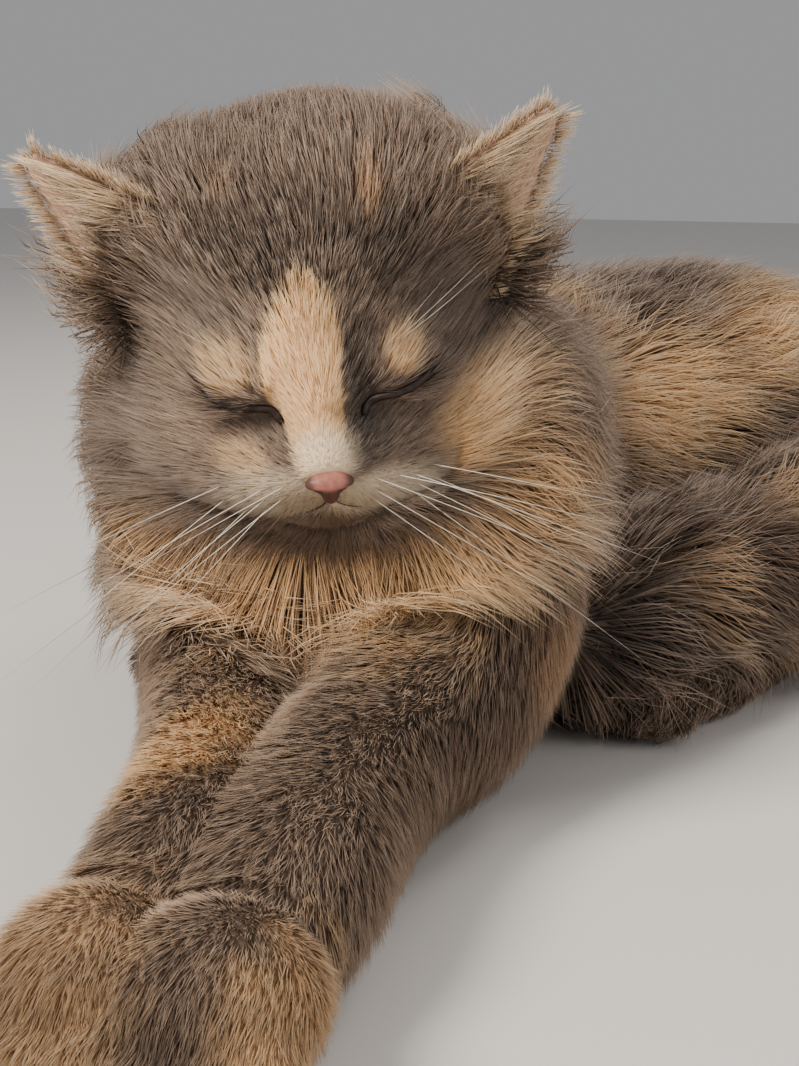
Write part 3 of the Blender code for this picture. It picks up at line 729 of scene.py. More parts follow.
# Paint: colour at a hair's root, middle and tip: each kind's own colour, darker at the root and brighter at the tip as
# painted shade and light through the depth of the coat.
PAINT = {
    "grey": ((0.055, 0.037, 0.027), (0.160, 0.105, 0.074), (0.345, 0.238, 0.170)),
    "dark": ((0.018, 0.012, 0.010), (0.038, 0.025, 0.019), (0.082, 0.055, 0.041)),
    "pale": ((0.17, 0.115, 0.078), (0.42, 0.29, 0.198), (0.66, 0.50, 0.36)),
    "ginger": ((0.17, 0.085, 0.040), (0.44, 0.235, 0.108), (0.72, 0.47, 0.27)),
    "cream": ((0.56, 0.325, 0.155), (0.85, 0.53, 0.25), (0.95, 0.70, 0.41)),
    "white": ((0.55, 0.40, 0.27), (0.89, 0.72, 0.50), (0.96, 0.86, 0.68)),
}
# Colour of the pale tips on a random share of hairs: a painted highlight where the tips catch the light.
TIP_HIGHLIGHT = (0.80, 0.64, 0.49)


def nodes_of(name, roughness, sheen=0.0):
    paint = bpy.data.materials.new(name)
    paint.use_nodes = True
    tree = paint.node_tree
    shader = tree.nodes["Principled BSDF"]
    shader.inputs["Roughness"].default_value = roughness
    shader.inputs["Sheen Weight"].default_value = sheen
    shader.inputs["Sheen Roughness"].default_value = 0.5
    shader.inputs["Specular IOR Level"].default_value = 0.3
    return paint, tree, shader


def mix(tree, share, first, second, kind="MIX"):
    node = tree.nodes.new("ShaderNodeMix")
    node.data_type, node.blend_type = "RGBA", kind
    for socket, value in (("Factor", share), ("A", first), ("B", second)):
        spot = [s for s in node.inputs if s.name == socket and (socket == "Factor") == (s.type == "VALUE") and s.type in ("VALUE", "RGBA")][0]
        if isinstance(value, bpy.types.NodeSocket):
            tree.links.new(value, spot)
        elif isinstance(value, tuple):
            spot.default_value = (*value, 1.0)
        else:
            spot.default_value = value
    return [s for s in node.outputs if s.type == "RGBA"][0]


def attribute(tree, name):
    node = tree.nodes.new("ShaderNodeAttribute")
    node.attribute_name = name
    parts = tree.nodes.new("ShaderNodeSeparateColor")
    tree.links.new(node.outputs["Color"], parts.inputs["Color"])
    return parts.outputs["Red"], parts.outputs["Green"], parts.outputs["Blue"]


def math_node(tree, kind, first, second=None, clamp=False):
    node = tree.nodes.new("ShaderNodeMath")
    node.operation, node.use_clamp = kind, clamp
    for spot, value in zip(node.inputs, (first, second)):
        if isinstance(value, bpy.types.NodeSocket):
            tree.links.new(value, spot)
        elif value is not None:
            spot.default_value = value
    return node.outputs[0]


def ramp(tree, value, colours, stops=(0.0, 0.5, 1.0)):
    node = tree.nodes.new("ShaderNodeValToRGB")
    while len(node.color_ramp.elements) < len(colours):
        node.color_ramp.elements.new(0.5)
    for element, stop, colour in zip(node.color_ramp.elements, stops, colours):
        element.position, element.color = stop, (*colour, 1.0)
    tree.links.new(value, node.inputs["Fac"])
    return node.outputs["Color"]


def noise(tree, scale, detail=3.0, spread=0.6):
    place = tree.nodes.new("ShaderNodeTexCoord")
    node = tree.nodes.new("ShaderNodeTexNoise")
    node.inputs["Scale"].default_value = scale
    node.inputs["Detail"].default_value = detail
    node.inputs["Roughness"].default_value = spread
    tree.links.new(place.outputs["Object"], node.inputs["Vector"])
    return node.outputs["Fac"]


def coat_paint(name, under):
    """The coat's paint: markings, colour from root to tip with painted shade at the roots and painted light at the
    tips, pale tips on some hairs as a painted highlight, and each hair's own shade.
    """
    paint, tree, shader = nodes_of(name, 0.68, 0.06)
    cream, white, dark = attribute(tree, "marks_a")
    ginger, pale, bare = attribute(tree, "marks_b")
    along, shade, tip_highlight = attribute(tree, "strand")
    patches = noise(tree, 55.0, 4.0)
    place = math_node(tree, "ADD", along, math_node(tree, "MULTIPLY_ADD", patches, 0.28))
    place.node.inputs[1].links[0].from_node.inputs[2].default_value = -0.14
    if under:
        place = math_node(tree, "MULTIPLY", place, 1.1)
    # Each marking's colour along the hair, darker at the root and brighter at the tip: painted shade and light through
    # the depth of the coat.
    colour = ramp(tree, place, PAINT["grey"], (0.0, 0.48, 1.0))
    for kind, weight in (("dark", dark), ("pale", pale), ("ginger", ginger), ("cream", cream), ("white", white)):
        colour = mix(tree, weight, colour, ramp(tree, place, PAINT[kind], (0.0, 0.45, 1.0)))
    # Pale tips on some hairs, strongest at the very tip: a painted highlight.
    end = math_node(tree, "MULTIPLY", math_node(tree, "POWER", along, 3.0), tip_highlight)
    colour = mix(tree, end, colour, TIP_HIGHLIGHT)
    if under:
        colour = mix(tree, bare, colour, mix(tree, noise(tree, 220.0), (0.50, 0.29, 0.21), (0.68, 0.44, 0.32)))
        bump = tree.nodes.new("ShaderNodeBump")
        bump.inputs["Distance"].default_value = 0.0004
        bump.inputs["Strength"].default_value = 0.5
        tree.links.new(noise(tree, 900.0, 5.0), bump.inputs["Height"])
        tree.links.new(bump.outputs["Normal"], shader.inputs["Normal"])
    lit = math_node(tree, "MULTIPLY_ADD", shade, 0.46)
    lit.node.inputs[2].default_value = 0.77
    gain = tree.nodes.new("ShaderNodeCombineColor")
    for spot in gain.inputs:
        tree.links.new(lit, spot)
    colour = mix(tree, 1.0, colour, gain.outputs["Color"], "MULTIPLY")
    tree.links.new(colour, shader.inputs["Base Color"])
    return paint


def add_colour(mesh, name, values):
    layer = mesh.attributes.new(name, "FLOAT_COLOR", "POINT")
    layer.data.foreach_set("color", np.column_stack((values, np.ones(len(values)))).astype(np.float32).ravel())


ATLAS = 4  # the unwrap's cells on a side
CELLS = ("head", "ear", "neck", "torso", "foreleg", "forepaw", "hindleg", "hindfoot", "hindpaw", "tail")


def unwrap(places, names):
    """Places on the skin's own unwrap: round and along each part, a cell for each."""
    flat = np.zeros((len(places), 2))
    local = in_head(places)
    round_head = np.arctan2(local[:, 0], -local[:, 1]) / (2 * math.pi) + 0.5
    up_head = np.clip((local[:, 2] + 6) / 15, 0, 1)
    for number, name in enumerate(CELLS):
        here = names == name
        if not here.any():
            continue
        if name in ("head", "ear"):
            u, v = round_head, up_head
        else:
            middle = places[here].mean(0)
            u = np.arctan2(places[:, 0] - middle[0], places[:, 2] - 3.0) / (2 * math.pi) + 0.5
            span = places[here, 1].min(), places[here, 1].max() + 0.01
            v = (places[:, 1] - span[0]) / (span[1] - span[0])
        cell = np.array((number % ATLAS, number // ATLAS))
        flat[here] = ((cell + 0.04 + 0.92 * np.column_stack((np.clip(u, 0, 1), np.clip(v, 0, 1)))) / ATLAS)[here]
    return flat


def bake_map(mesh, flat):
    """The OFBake map from a place for each vertex."""
    layer = mesh.uv_layers.new(name="OFBake")
    corners = np.empty(len(mesh.loops), np.int32)
    mesh.loops.foreach_get("vertex_index", corners)
    layer.data.foreach_set("uv", flat[corners].astype(np.float32).ravel())


def triangles_of(mesh):
    mesh.calc_loop_triangles()
    corners = np.empty(len(mesh.loop_triangles) * 3, np.int32)
    mesh.loop_triangles.foreach_get("vertices", corners)
    return corners.reshape(-1, 3)


def normals_of(mesh):
    found = np.empty(len(mesh.vertices) * 3, np.float32)
    mesh.vertex_normals.foreach_get("vector", found)
    return found.reshape(-1, 3).astype(float)


class Coat:
    """Strands of one part of the coat: their rings, paths and widths, and the points of the strands."""

    def __init__(self, rings):
        self.rings, self.paths, self.widths = rings, [], []

    @staticmethod
    def strands(paths, widths, sides, seeds, rings):
        """Points of flat three-sided strands that taper to their tips."""
        count = len(paths)
        taper = {1: (1.0,), 2: (0.9, 0.75), 3: (0.72, 1.0, 0.62)}[rings]
        points = np.empty((count, 3 * rings + 1, 3))
        for k in range(rings):
            ahead = unit(paths[:, k + 1] - paths[:, max(k - 1, 0)])
            across = unit(np.cross(ahead, sides))
            over = np.cross(across, ahead)
            half = (widths * taper[k] / 2)[:, None]
            points[:, 3 * k] = paths[:, k] + across * half
            points[:, 3 * k + 1] = paths[:, k] + over * half * 0.9
            points[:, 3 * k + 2] = paths[:, k] - across * half
        points[:, -1] = paths[:, rings]
        return points


def strand_faces(rings):
    faces = [(2, 1, 0)]
    for k in range(rings - 1):
        for i in range(3):
            a, b = 3 * k + i, 3 * k + (i + 1) % 3
            faces += [(a, b, b + 3), (a, b + 3, a + 3)]
    last = 3 * (rings - 1)
    faces += [(last + i, last + (i + 1) % 3, last + 3) for i in range(3)]
    return np.array(faces)


def coat_piece(name, paths, widths, sides, marks, shade, roots_flat, paint, bare=None):
    """One piece of coat from its strands' paths."""
    rings = paths.shape[1] - 1
    count = len(paths)
    points = Coat.strands(paths, widths, sides, None, rings)
    each = points.shape[1]
    pattern = strand_faces(rings)
    faces = (pattern[None] + (np.arange(count) * each)[:, None, None]).reshape(-1, 3)
    mesh = bpy.data.meshes.new(name)
    mesh.vertices.add(count * each)
    mesh.vertices.foreach_set("co", ((points.reshape(-1, 3) - ORIGIN) * CM).astype(np.float32).ravel())
    mesh.loops.add(len(faces) * 3)
    mesh.loops.foreach_set("vertex_index", faces.astype(np.int32).ravel())
    mesh.polygons.add(len(faces))
    mesh.polygons.foreach_set("loop_start", np.arange(0, len(faces) * 3, 3, dtype=np.int32))
    mesh.update(calc_edges=True)
    along = np.minimum(np.arange(each) // 3 / rings, 1.0)
    along = np.broadcast_to(along, (count, each))
    add_colour(mesh, "marks_a", np.repeat(np.column_stack([marks[k] for k in ("cream", "white", "dark")]), each, axis=0))
    last = np.zeros(count) if bare is None else bare
    add_colour(mesh, "marks_b", np.repeat(np.column_stack([marks["ginger"], marks["pale"], last]), each, axis=0))
    # How strongly each hair's tip takes the painted pale highlight, at random.
    tip_highlight_share = np.clip(RANDOM.normal(0.15, 0.35, count), 0, 0.9)
    values = np.stack((along, *(np.broadcast_to(v[:, None], (count, each)) for v in (shade, tip_highlight_share))), axis=-1)
    add_colour(mesh, "strand", values.reshape(-1, 3))
    spread = np.stack(
        (np.broadcast_to((np.arange(each) % 3 - 1) * 0.0014, (count, each)), (along - 0.5) * 0.003), axis=-1
    )
    bake_map(mesh, (roots_flat[:, None, :] + spread).reshape(-1, 2))
    mesh.shade_smooth()
    mesh.materials.append(paint)
    piece = bpy.data.objects.new(name, mesh)
    bpy.context.scene.collection.objects.link(piece)
    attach(piece, "root")
    return piece


def grow_coat(skin, names, lie, sizes, flat, bare, paint):
    """Strands all over the skin, denser and shorter on the face and feet."""
    mesh = skin.data
    places, normals = coordinates(mesh), normals_of(mesh)
    tris = triangles_of(mesh)
    corner = places[tris]
    area = np.linalg.norm(np.cross(corner[:, 1] - corner[:, 0], corner[:, 2] - corner[:, 0]), axis=1) / 2
    middle = corner.mean(1)
    density = sizes[tris, 3].mean(1) * smooth(0.12, 0.5, middle[:, 2])
    density = density * (1 + 0.9 * smooth(4.5, 1.5, np.linalg.norm((middle - (2.5, -2.0, 8.6)) / (1.8, 1.0, 1.0), axis=1)))
    local = in_head(middle)
    for line, half_width, _ in LINES:
        off, _ = nearest_line(local, line)
        density = density * smooth(half_width * 0.5, half_width * 1.3, off)
    leather = np.linalg.norm((local - (0.0, -5.95, -1.2)) / (0.56, 0.9, 0.40), axis=1)
    density = density * smooth(0.85, 1.05, leather)
    total = np.cumsum(area * density)
    count = int(total[-1])
    draws = (np.arange(count) + RANDOM.uniform(0, 1, count)) / count * total[-1]
    chosen = np.searchsorted(total, draws).clip(0, len(tris) - 1)
    a, b = RANDOM.uniform(0, 1, count), RANDOM.uniform(0, 1, count)
    flip = a + b > 1
    a, b = np.where(flip, 1 - a, a), np.where(flip, 1 - b, b)
    weights = np.column_stack((1 - a - b, a, b))[:, :, None]
    pick = tris[chosen]
    roots = (places[pick] * weights).sum(1)
    normal = unit((normals[pick] * weights).sum(1))
    flow = (lie[pick] * weights).sum(1)
    size = (sizes[pick] * weights).sum(1)
    uv = (flat[pick[:, 0]])
    group = names[pick[:, 0]]
    shiver = RANDOM.normal(size=(count, 3))
    swirl = np.stack([ripple(roots, 3.2, seed) for seed in (51, 52, 53)], 1)
    flow = unit(flow) + shiver * 0.13 + swirl * np.clip(size[:, 0:1] * 0.09, 0.02, 0.26)
    flow = unit(flow - (flow * normal).sum(1, keepdims=True) * normal)
    length = size[:, 0] * RANDOM.uniform(0.72, 1.18, count)
    height = size[:, 1] * RANDOM.uniform(0.55, 1.08, count)
    width = size[:, 2] * RANDOM.uniform(0.75, 1.3, count)
    tree = BVHTree.FromPolygons([Vector(p) for p in places], [tuple(t) for t in tris])
    rings = 3
    profile = np.array((0.0, 0.42, 0.78, 1.0))
    paths = np.empty((count, rings + 1, 3))
    paths[:, 0] = roots - normal * 0.04
    walk, way, up = roots.copy(), flow.copy(), normal.copy()
    for k in range(1, rings + 1):
        step = (length / rings)[:, None]
        walk = walk + way * step
        short = size[:, 0] < 1.2
        found = np.array([tree.find_nearest(Vector(p))[:2] for p in walk[~short]], dtype=object)
        if len(found):
            near = np.array([tuple(v) for v in found[:, 0]])
            facing = np.array([tuple(v) for v in found[:, 1]])
            walk[~short] = near
            up[~short] = unit(up[~short] * 0.5 + facing * 0.5)
        way = unit(way - (way * up).sum(1, keepdims=True) * up)
        way = unit(way + np.array((0, 0, -0.06)) * length[:, None] / 3)
        paths[:, k] = walk + up * (height * profile[k])[:, None]
    clump(paths, size, roots)
    paths[:, 1:, 2] = np.maximum(paths[:, 1:, 2], 0.03)
    keep_clear(paths, length)
    marks = marks_at(roots * 0.35 + paths[:, 2] * 0.65)
    for kind, spread in (("dark", 0.24), ("pale", 0.16), ("ginger", 0.10)):
        marks[kind] = np.clip(marks[kind] + RANDOM.normal(-0.06, spread, count), 0, 1)
    inside = bare[pick[:, 0]]
    marks["cream"] = np.maximum(marks["cream"], 0.6 * inside)
    marks["white"] = np.maximum(marks["white"], 0.3 * inside)
    shade = np.clip(RANDOM.normal(0.5, 0.2, count), 0, 1)
    pieces = {
        "coat_face": (group == "head") & (in_head(roots)[:, 1] < -1.2) & (in_head(roots)[:, 2] < 2.6),
        "coat_crown": group == "head",
        "coat_ears": group == "ear",
        "coat_ruff": group == "neck",
        "coat_forelegs": np.isin(group, ("foreleg",)),
        "coat_forepaws": np.isin(group, ("forepaw",)),
        "coat_thighs": np.isin(group, ("hindleg", "hindfoot", "hindpaw")),
        "coat_tail": group == "tail",
        "coat_back": group == "torso",
    }
    taken = np.zeros(count, bool)
    for name, here in pieces.items():
        here = here & ~taken
        taken |= here
        index = np.flatnonzero(here)
        steps = (0, 3) if np.median(size[index, 0]) < 1.3 else (0, 2, 3)
        most = 190000 // len(strand_faces(len(steps) - 1))
        parts = max(1, math.ceil(len(index) / most))
        order = index[np.argsort(roots[index, 0], kind="stable")]
        for part, chunk in enumerate(np.array_split(order, parts)):
            if not len(chunk):
                continue
            title = name if parts == 1 else f"{name}_{part + 1}"
            coat_piece(
                title,
                paths[chunk][:, steps],
                width[chunk],
                normal[chunk],
                {k: v[chunk] for k, v in marks.items()},
                shade[chunk],
                uv[chunk],
                paint,
            )
    print("strands", count, {n: int((group == n).sum()) for n in set(group)})


def keep_clear(paths, length):
    """Shortens what would hang over the closed eyes, the mouth or the nose."""
    near = np.flatnonzero(head_distance(in_head(paths[:, 0])) < 0.5)
    for share in (0.55, 0.5, 0.5):
        local = in_head(paths[near].reshape(-1, 3))
        over = np.zeros(len(local), bool)
        for (line, half_width, _), room in zip(LINES, (0.13, 0.13, 0.06, 0.05)):
            over |= nearest_line(local, line)[0] < room
        over |= np.linalg.norm((local - (0.0, -6.1, -1.2)) / (0.62, 0.7, 0.45), axis=1) < 1
        hit = near[over.reshape(len(near), -1)[:, 1:].any(1)]
        for k in range(1, paths.shape[1]):
            paths[hit, k] = paths[hit, 0] + (paths[hit, k] - paths[hit, 0]) * share


def clump(paths, size, roots):
    """Draws the tips of neighbouring strands together."""
    count = len(paths)
    leaders = RANDOM.choice(count, count // 9, replace=False)
    tree = KDTree(len(leaders))
    for k, i in enumerate(leaders):
        tree.insert(roots[i], k)
    tree.balance()
    follow = leaders[np.array([tree.find(p)[1] for p in roots])]
    near = np.linalg.norm(roots[follow] - roots, axis=1) < size[:, 0] * 0.45
    pull = RANDOM.uniform(0.15, 0.65, count) * near
    for k, share in ((1, 0.12), (2, 0.5), (3, 1.0)):
        aim = paths[follow, k] + (roots - roots[follow]) * 0.15
        paths[:, k] += (aim - paths[:, k]) * (pull * share)[:, None]


def build_cat():
    skin = make_skin()
    places = coordinates(skin.data)
    pairs = edge_pairs(skin.data)
    names, lie, face = region_of(places)
    sizes = fur_sizes(names, face, in_head(places))
    sizes[:, :3] = relaxed(sizes[:, :3], pairs, 0.6, 14)
    lie = unit(relaxed(unit(lie), pairs, 0.6, 10))
    flat = unwrap(places, names)
    marks = marks_at(places)
    bare = (names == "ear") * 0.0
    local = in_head(places)
    normals = normals_of(skin.data) @ HEAD_TURN
    for ear in EARS.values():
        facing = ear.facing * (ear.side, 1, 1)
        inner = (names == "ear") & (normals @ facing > 0.15)
        bare = np.where(inner, 1.0, bare)
        sizes[inner, 3] *= 0.75
    bare = relaxed(bare.astype(float), pairs, 0.5, 3)
    add_colour(skin.data, "marks_a", np.column_stack([marks[k] for k in ("cream", "white", "dark")]))
    add_colour(skin.data, "marks_b", np.column_stack([marks["ginger"], marks["pale"], bare]))
    # The skin takes the coat's colour about a quarter of the way up from the root, with no pale tip: painted shade
    # under the coat.
    add_colour(skin.data, "strand", np.tile((0.25, 0.5, 0.0), (len(places), 1)))
    bake_map(skin.data, flat)
    skin.data.shade_smooth()
    skin.data.materials.clear()
    skin.data.materials.append(coat_paint("skin_paint", True))
    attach(skin, "root")
    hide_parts(*[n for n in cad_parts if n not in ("nose", "eyelids_left", "eyelids_right")])
    grow_coat(skin, names, lie, sizes, flat, bare, coat_paint("coat_paint", False))
    return skin


def path_tube(points, radii, sides=6):
    """A closed tapered tube along a path."""
    points = np.asarray(points, float)
    ahead = unit(np.gradient(points, axis=0))
    side = unit(np.cross(ahead, (0.1, 0.2, 1.0)))
    up = np.cross(side, ahead)
    turns = np.arange(sides) * 2 * math.pi / sides
    rings = points[:, None] + radii[:, None, None] * (
        side[:, None] * np.cos(turns)[None, :, None] + up[:, None] * np.sin(turns)[None, :, None]
    )
    found = [tuple(p) for p in rings.reshape(-1, 3)]
    last = (len(points) - 1) * sides
    faces = [
        (r + k, r + (k + 1) % sides, r + sides + (k + 1) % sides, r + sides + k)
        for r in range(0, last, sides)
        for k in range(sides)
    ]
    faces += [tuple(range(sides))[::-1], tuple(last + k for k in range(sides))]
    return found, faces


def joined(name, forms, paint, smooth_shade=True):
    points, faces = [], []
    for form in forms:
        base = len(points)
        points += [tuple(p) for p in form[0]]
        faces += [tuple(base + i for i in f) for f in form[1]]
    body = mesh_object(name, points, faces)
    outward(body)
    if smooth_shade:
        body.data.shade_smooth()
    body.data.materials.append(paint)
    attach(body, "root")
    return body


def plain_paint(name, low, high, roughness, scale, coat=0.0):
    paint, tree, shader = nodes_of(name, roughness)
    colour = ramp(tree, noise(tree, scale), (low, high), (0.35, 0.65))
    tree.links.new(colour, shader.inputs["Base Color"])
    shader.inputs["Coat Weight"].default_value = coat
    bump = tree.nodes.new("ShaderNodeBump")
    bump.inputs["Distance"].default_value = 0.0002
    bump.inputs["Strength"].default_value = 0.4
    tree.links.new(noise(tree, scale * 3, 4.0), bump.inputs["Height"])
    tree.links.new(bump.outputs["Normal"], shader.inputs["Normal"])
    return paint


def make_nose():
    """The nose leather: broad above, narrow below, a comma for each nostril."""

    def distance(p):
        d = blended(ellipsoid(p, NOSE_CENTRE, NOSE_RADII), ellipsoid(p, NOSE_FOOT, NOSE_FOOT_RADII), 0.18)
        for side in (1, -1):
            hole = ellipsoid(p, (side * 0.34, -6.30, -1.22), (0.17, 0.20, 0.085))
            slit = ellipsoid(p, (side * 0.55, -6.14, -1.20), (0.16, 0.20, 0.055))
            for cut in (hole, slit):
                d = -blended(-d, cut, 0.05)
        groove = ellipsoid(p, (0.0, -6.42, -1.45), (0.035, 0.12, 0.30))
        return -blended(-d, groove, 0.04)

    points, faces = ball((0, 0, 0), (1, 1, 1), level=5)
    centre = np.array((0.0, -5.75, -1.2))
    low, high = np.zeros(len(points)), np.full(len(points), 1.6)
    for _ in range(22):
        middle = (low + high) / 2
        outside = distance(points * middle[:, None] + centre) > 0
        high, low = np.where(outside, middle, high), np.where(outside, low, middle)
    local = points * high[:, None] + centre
    paint, tree, shader = nodes_of("nose_leather", 0.50)
    rim, depth, _ = attribute(tree, "nose")
    pink = ramp(tree, noise(tree, 500.0), ((0.30, 0.105, 0.078), (0.42, 0.165, 0.125)), (0.35, 0.65))
    colour = mix(tree, rim, pink, (0.055, 0.028, 0.022))
    tree.links.new(colour, shader.inputs["Base Color"])
    bump = tree.nodes.new("ShaderNodeBump")
    bump.inputs["Distance"].default_value = 0.00015
    bump.inputs["Strength"].default_value = 0.6
    tree.links.new(noise(tree, 1400.0, 4.0), bump.inputs["Height"])
    tree.links.new(bump.outputs["Normal"], shader.inputs["Normal"])
    shader.inputs["Coat Weight"].default_value = 0.08
    nose = mesh_object("nose_leather", in_model(local), faces)
    outward(nose)
    nose.data.shade_smooth()
    # The leather is darkened in and around each nostril, as painted shade in the nostril's hollow, and towards its
    # sides and bottom.
    holes = np.minimum(*[np.linalg.norm((local - (s * 0.42, -6.28, -1.24)) / (0.28, 0.3, 0.12), axis=1) for s in (1, -1)])
    edge = np.maximum(smooth(1.5, 0.9, holes), smooth(0.28, 0.55, np.abs(local[:, 0])) * 0.9)
    edge = np.maximum(edge, smooth(-1.02, -1.22, local[:, 2]) * 0.90)
    add_colour(nose.data, "nose", np.column_stack((edge, edge, edge)))
    nose.data.materials.append(paint)
    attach(nose, "root")
    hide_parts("nose")


def make_lids():
    """The dark rims of the closed lids, with the wet corner by the nose."""
    paint = plain_paint("lid_rim", (0.010, 0.006, 0.005), (0.035, 0.020, 0.016), 0.42, 600.0)
    for way, (line, _, _) in zip(("left", "right"), LINES):
        count = 30
        places = np.array([line[min(int(t * 23), 22)] + (line[min(int(t * 23) + 1, 23)] - line[min(int(t * 23), 22)]) * (t * 23 - int(t * 23)) for t in np.linspace(0, 1, count)])
        out = unit(places - HEAD_CENTRE)
        t = np.linspace(0, 1, count)
        radii = 0.045 + 0.065 * np.sin(math.pi * np.clip(t * 0.9 + 0.1, 0, 1)) ** 0.8 + 0.035 * np.exp(-(((t - 0.10) / 0.08) ** 2))
        rim = path_tube(in_model(places + out * 0.03), radii, 8)
        body = joined(f"eyelids_{way}_rim", [rim], paint)
        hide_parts(f"eyelids_{way}")
    mouth = [path_tube(in_model(line + unit(line - HEAD_CENTRE) * 0.02), np.full(len(line), 0.018), 6) for line in (LINES[2][0][9:27], LINES[3][0])]
    joined("mouth_line", mouth, paint)


def make_whiskers():
    """Whiskers of both pads and the brow hairs, thin tapered wires of horn."""
    draw = np.random.default_rng(21)
    pale, brown = [], []
    for side in (1, -1):
        for row, z in enumerate((-1.35, -1.65, -1.95)):
            for k in range(4):
                x = 1.05 + 0.42 * k + draw.uniform(-0.08, 0.08)
                root = on_head([(side * x, -5.4 + 0.35 * k, z - 0.04 * k)])[0]
                out = unit(root - HEAD_CENTRE)
                length = draw.uniform(5.2, 8.6) * (0.85 if k == 0 else 1.0)
                way = unit(np.array((side * 1.0, -0.30 - 0.1 * draw.uniform(), -0.06 - 0.28 * row + draw.uniform(-0.1, 0.1))) + out * 0.25)
                sag = np.array((side * 0.05, 0.45, -0.42))
                t = np.linspace(0, 1, 14)[:, None]
                path = root - out * 0.1 + way * (length * t) + sag * (length * 0.42 * t**2)
                radii = 0.0095 * (1 - t[:, 0] ** 1.6) + 0.0012
                (brown if draw.uniform() < 0.2 else pale).append(path_tube(in_model(path), radii, 5))
        for k in range(3):
            root = on_head([(side * (2.0 + 0.32 * k), -3.6, 1.45 + 0.12 * k)])[0]
            out = unit(root - HEAD_CENTRE)
            t = np.linspace(0, 1, 10)[:, None]
            way = unit(out + np.array((side * (0.1 + 0.2 * k), -0.2, 0.8)))
            path = root - out * 0.1 + way * (draw.uniform(2.4, 3.8) * t) + np.array((side * 0.5, 0.8, 0.1)) * t**2
            pale.append(path_tube(in_model(path), 0.0050 * (1 - t[:, 0] ** 1.6) + 0.0010, 5))
    joined("whiskers", pale, plain_paint("whisker_horn", (0.78, 0.70, 0.58), (0.95, 0.90, 0.80), 0.35, 200.0))
    if brown:
        joined("whiskers_brown", brown, plain_paint("whisker_brown", (0.10, 0.055, 0.03), (0.22, 0.12, 0.07), 0.4, 200.0))


def make_ear_hair(paint):
    """Long cream hairs that sweep across the mouth of each ear, and the fringe of its rim."""
    draw = np.random.default_rng(33)
    paths, widths, sides, flats = [], [], [], []
    for ear in EARS.values():
        outward_way = HEAD_TURN @ (ear.facing * (ear.side, 1, 1))
        across = HEAD_TURN @ (-ear.width_way * (ear.side, 1, 1))
        axis = HEAD_TURN @ (ear.axis * (ear.side, 1, 1))
        lateral = 1.0 if (ear.at(0.8, 0.4) - ear.at(-0.8, 0.4)) @ (HEAD_TURN @ np.array((ear.side, 0, 0))) > 0 else -1.0
        for _ in range(950):
            v = 0.12 + 0.72 * draw.uniform() ** 1.4
            u = -lateral * (1.0 - 0.95 * draw.uniform() ** 1.1)
            root = ear.at(u, v, 0.08)
            aim = ear.at(lateral * draw.uniform(0.3, 1.0), min(v + draw.uniform(0.15, 0.5), 1.0), 0.1)
            length = draw.uniform(1.2, 2.9) * (1.1 - 0.6 * v)
            way = unit(unit(aim - root) + outward_way * draw.uniform(0.15, 0.55) + axis * 0.15)
            bend = unit(unit(aim - root) + axis * 0.5)
            t = np.linspace(0, 1, 4)[:, None]
            paths.append(root + way * (length * t) + (bend - way) * (length * 0.35 * t**2))
            widths.append(draw.uniform(0.022, 0.04))
            sides.append(outward_way)
            flats.append(root)
        for _ in range(900):
            edge = draw.choice((-1.0, 1.0)) * draw.uniform(0.93, 1.0)
            v = draw.uniform(0.1, 0.99)
            root = ear.at(edge, v, draw.uniform(-0.08, 0.08))
            away = unit(ear.at(edge, v) - ear.at(edge * 0.7, v))
            length = draw.uniform(0.3, 0.7)
            way = unit(away + axis * 0.9 + draw.normal(size=3) * 0.15)
            t = np.linspace(0, 1, 4)[:, None]
            paths.append(root + way * (length * t) + axis * (length * 0.2 * t**2))
            widths.append(draw.uniform(0.02, 0.035))
            sides.append(outward_way)
            flats.append(root)
    paths = np.array(paths)
    marks = {k: np.zeros(len(paths)) for k in KINDS}
    marks["cream"] = np.full(len(paths), 0.75) * draw.uniform(0.4, 1.1, len(paths)).clip(0, 1)
    marks["white"] = np.full(len(paths), 0.35)
    flats = unwrap(np.array(flats), np.full(len(flats), "ear", dtype=object))
    coat_piece("coat_ear_hair", paths, np.array(widths), np.array(sides), marks, draw.uniform(0.3, 0.9, len(paths)), flats, paint)


# The camera: where it stands, its turn and its lens, in the model's centimetres.
CAMERA_AT = (22.40, -46.90, 19.85)
CAMERA_TURN, CAMERA_DROP = math.radians(20), math.radians(13)
CAMERA_LENS = 60.79


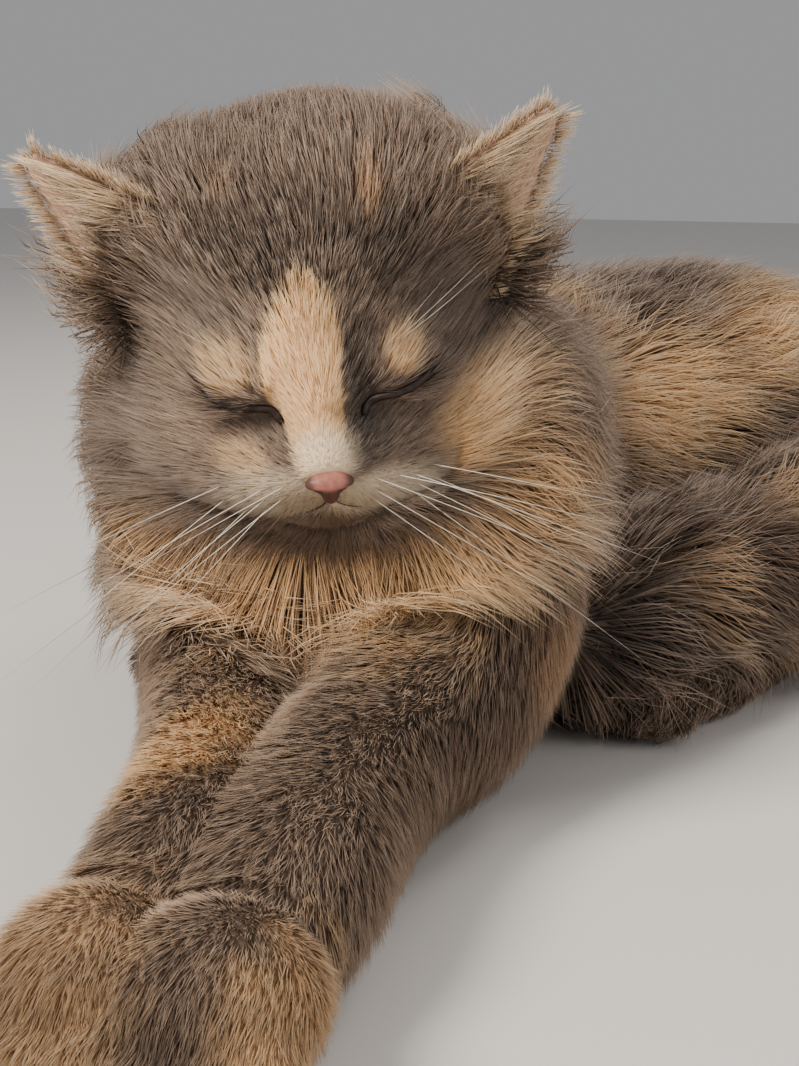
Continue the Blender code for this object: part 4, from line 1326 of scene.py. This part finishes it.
def make_camera():
    data = bpy.data.cameras.new("camera")
    data.lens, data.sensor_width, data.sensor_fit = CAMERA_LENS, 36.0, "AUTO"
    camera = bpy.data.objects.new("camera", data)
    bpy.context.scene.collection.objects.link(camera)
    ahead = Vector((
        -math.sin(CAMERA_TURN) * math.cos(CAMERA_DROP),
        math.cos(CAMERA_TURN) * math.cos(CAMERA_DROP),
        -math.sin(CAMERA_DROP),
    ))
    camera.location = Vector((np.array(CAMERA_AT) - ORIGIN) * CM)
    camera.rotation_euler = ahead.to_track_quat("-Z", "Y").to_euler()
    data.clip_start, data.clip_end = 0.01, 20.0
    bpy.context.scene.camera = camera


def make_light(name, place, aim, size, power, colour):
    data = bpy.data.lights.new(name, "AREA")
    data.shape, data.size, data.energy, data.color = "DISK", size, power, colour
    light = bpy.data.objects.new(name, data)
    bpy.context.scene.collection.objects.link(light)
    light.location = place
    light.rotation_euler = (Vector(aim) - Vector(place)).to_track_quat("-Z", "Y").to_euler()


def make_stage():
    floor = bpy.data.meshes.new("floor")
    wide = 3.0
    floor.from_pydata([(-wide, -wide, 0), (wide, -wide, 0), (wide, wide, 0), (-wide, wide, 0)], [], [(0, 1, 2, 3)])
    body = bpy.data.objects.new("floor", floor)
    bpy.context.scene.collection.objects.link(body)
    body.location = (0, 0, -0.0002)
    paint, tree, shader = nodes_of("floor_paint", 0.85)
    shader.inputs["Base Color"].default_value = (0.66, 0.64, 0.62, 1.0)
    floor.materials.append(paint)
    world = bpy.data.worlds.new("studio")
    world.use_nodes = True
    back = world.node_tree.nodes["Background"]
    back.inputs["Color"].default_value = (0.80, 0.80, 0.82, 1.0)
    back.inputs["Strength"].default_value = 0.42
    bpy.context.scene.world = world
    make_light("key", (-0.55, -0.75, 0.95), (0.0, -0.05, 0.08), 0.6, 21.0, (1.0, 0.93, 0.84))
    make_light("fill", (0.95, -0.55, 0.6), (0.0, 0.0, 0.08), 0.9, 5.5, (1.0, 0.95, 0.90))
    make_light("rim", (0.35, 1.0, 0.9), (0.0, 0.0, 0.1), 0.6, 9.0, (1.0, 0.94, 0.86))


make_camera()
make_stage()
build_cat()
make_nose()
make_lids()
make_whiskers()
make_ear_hair(bpy.data.materials["coat_paint"])
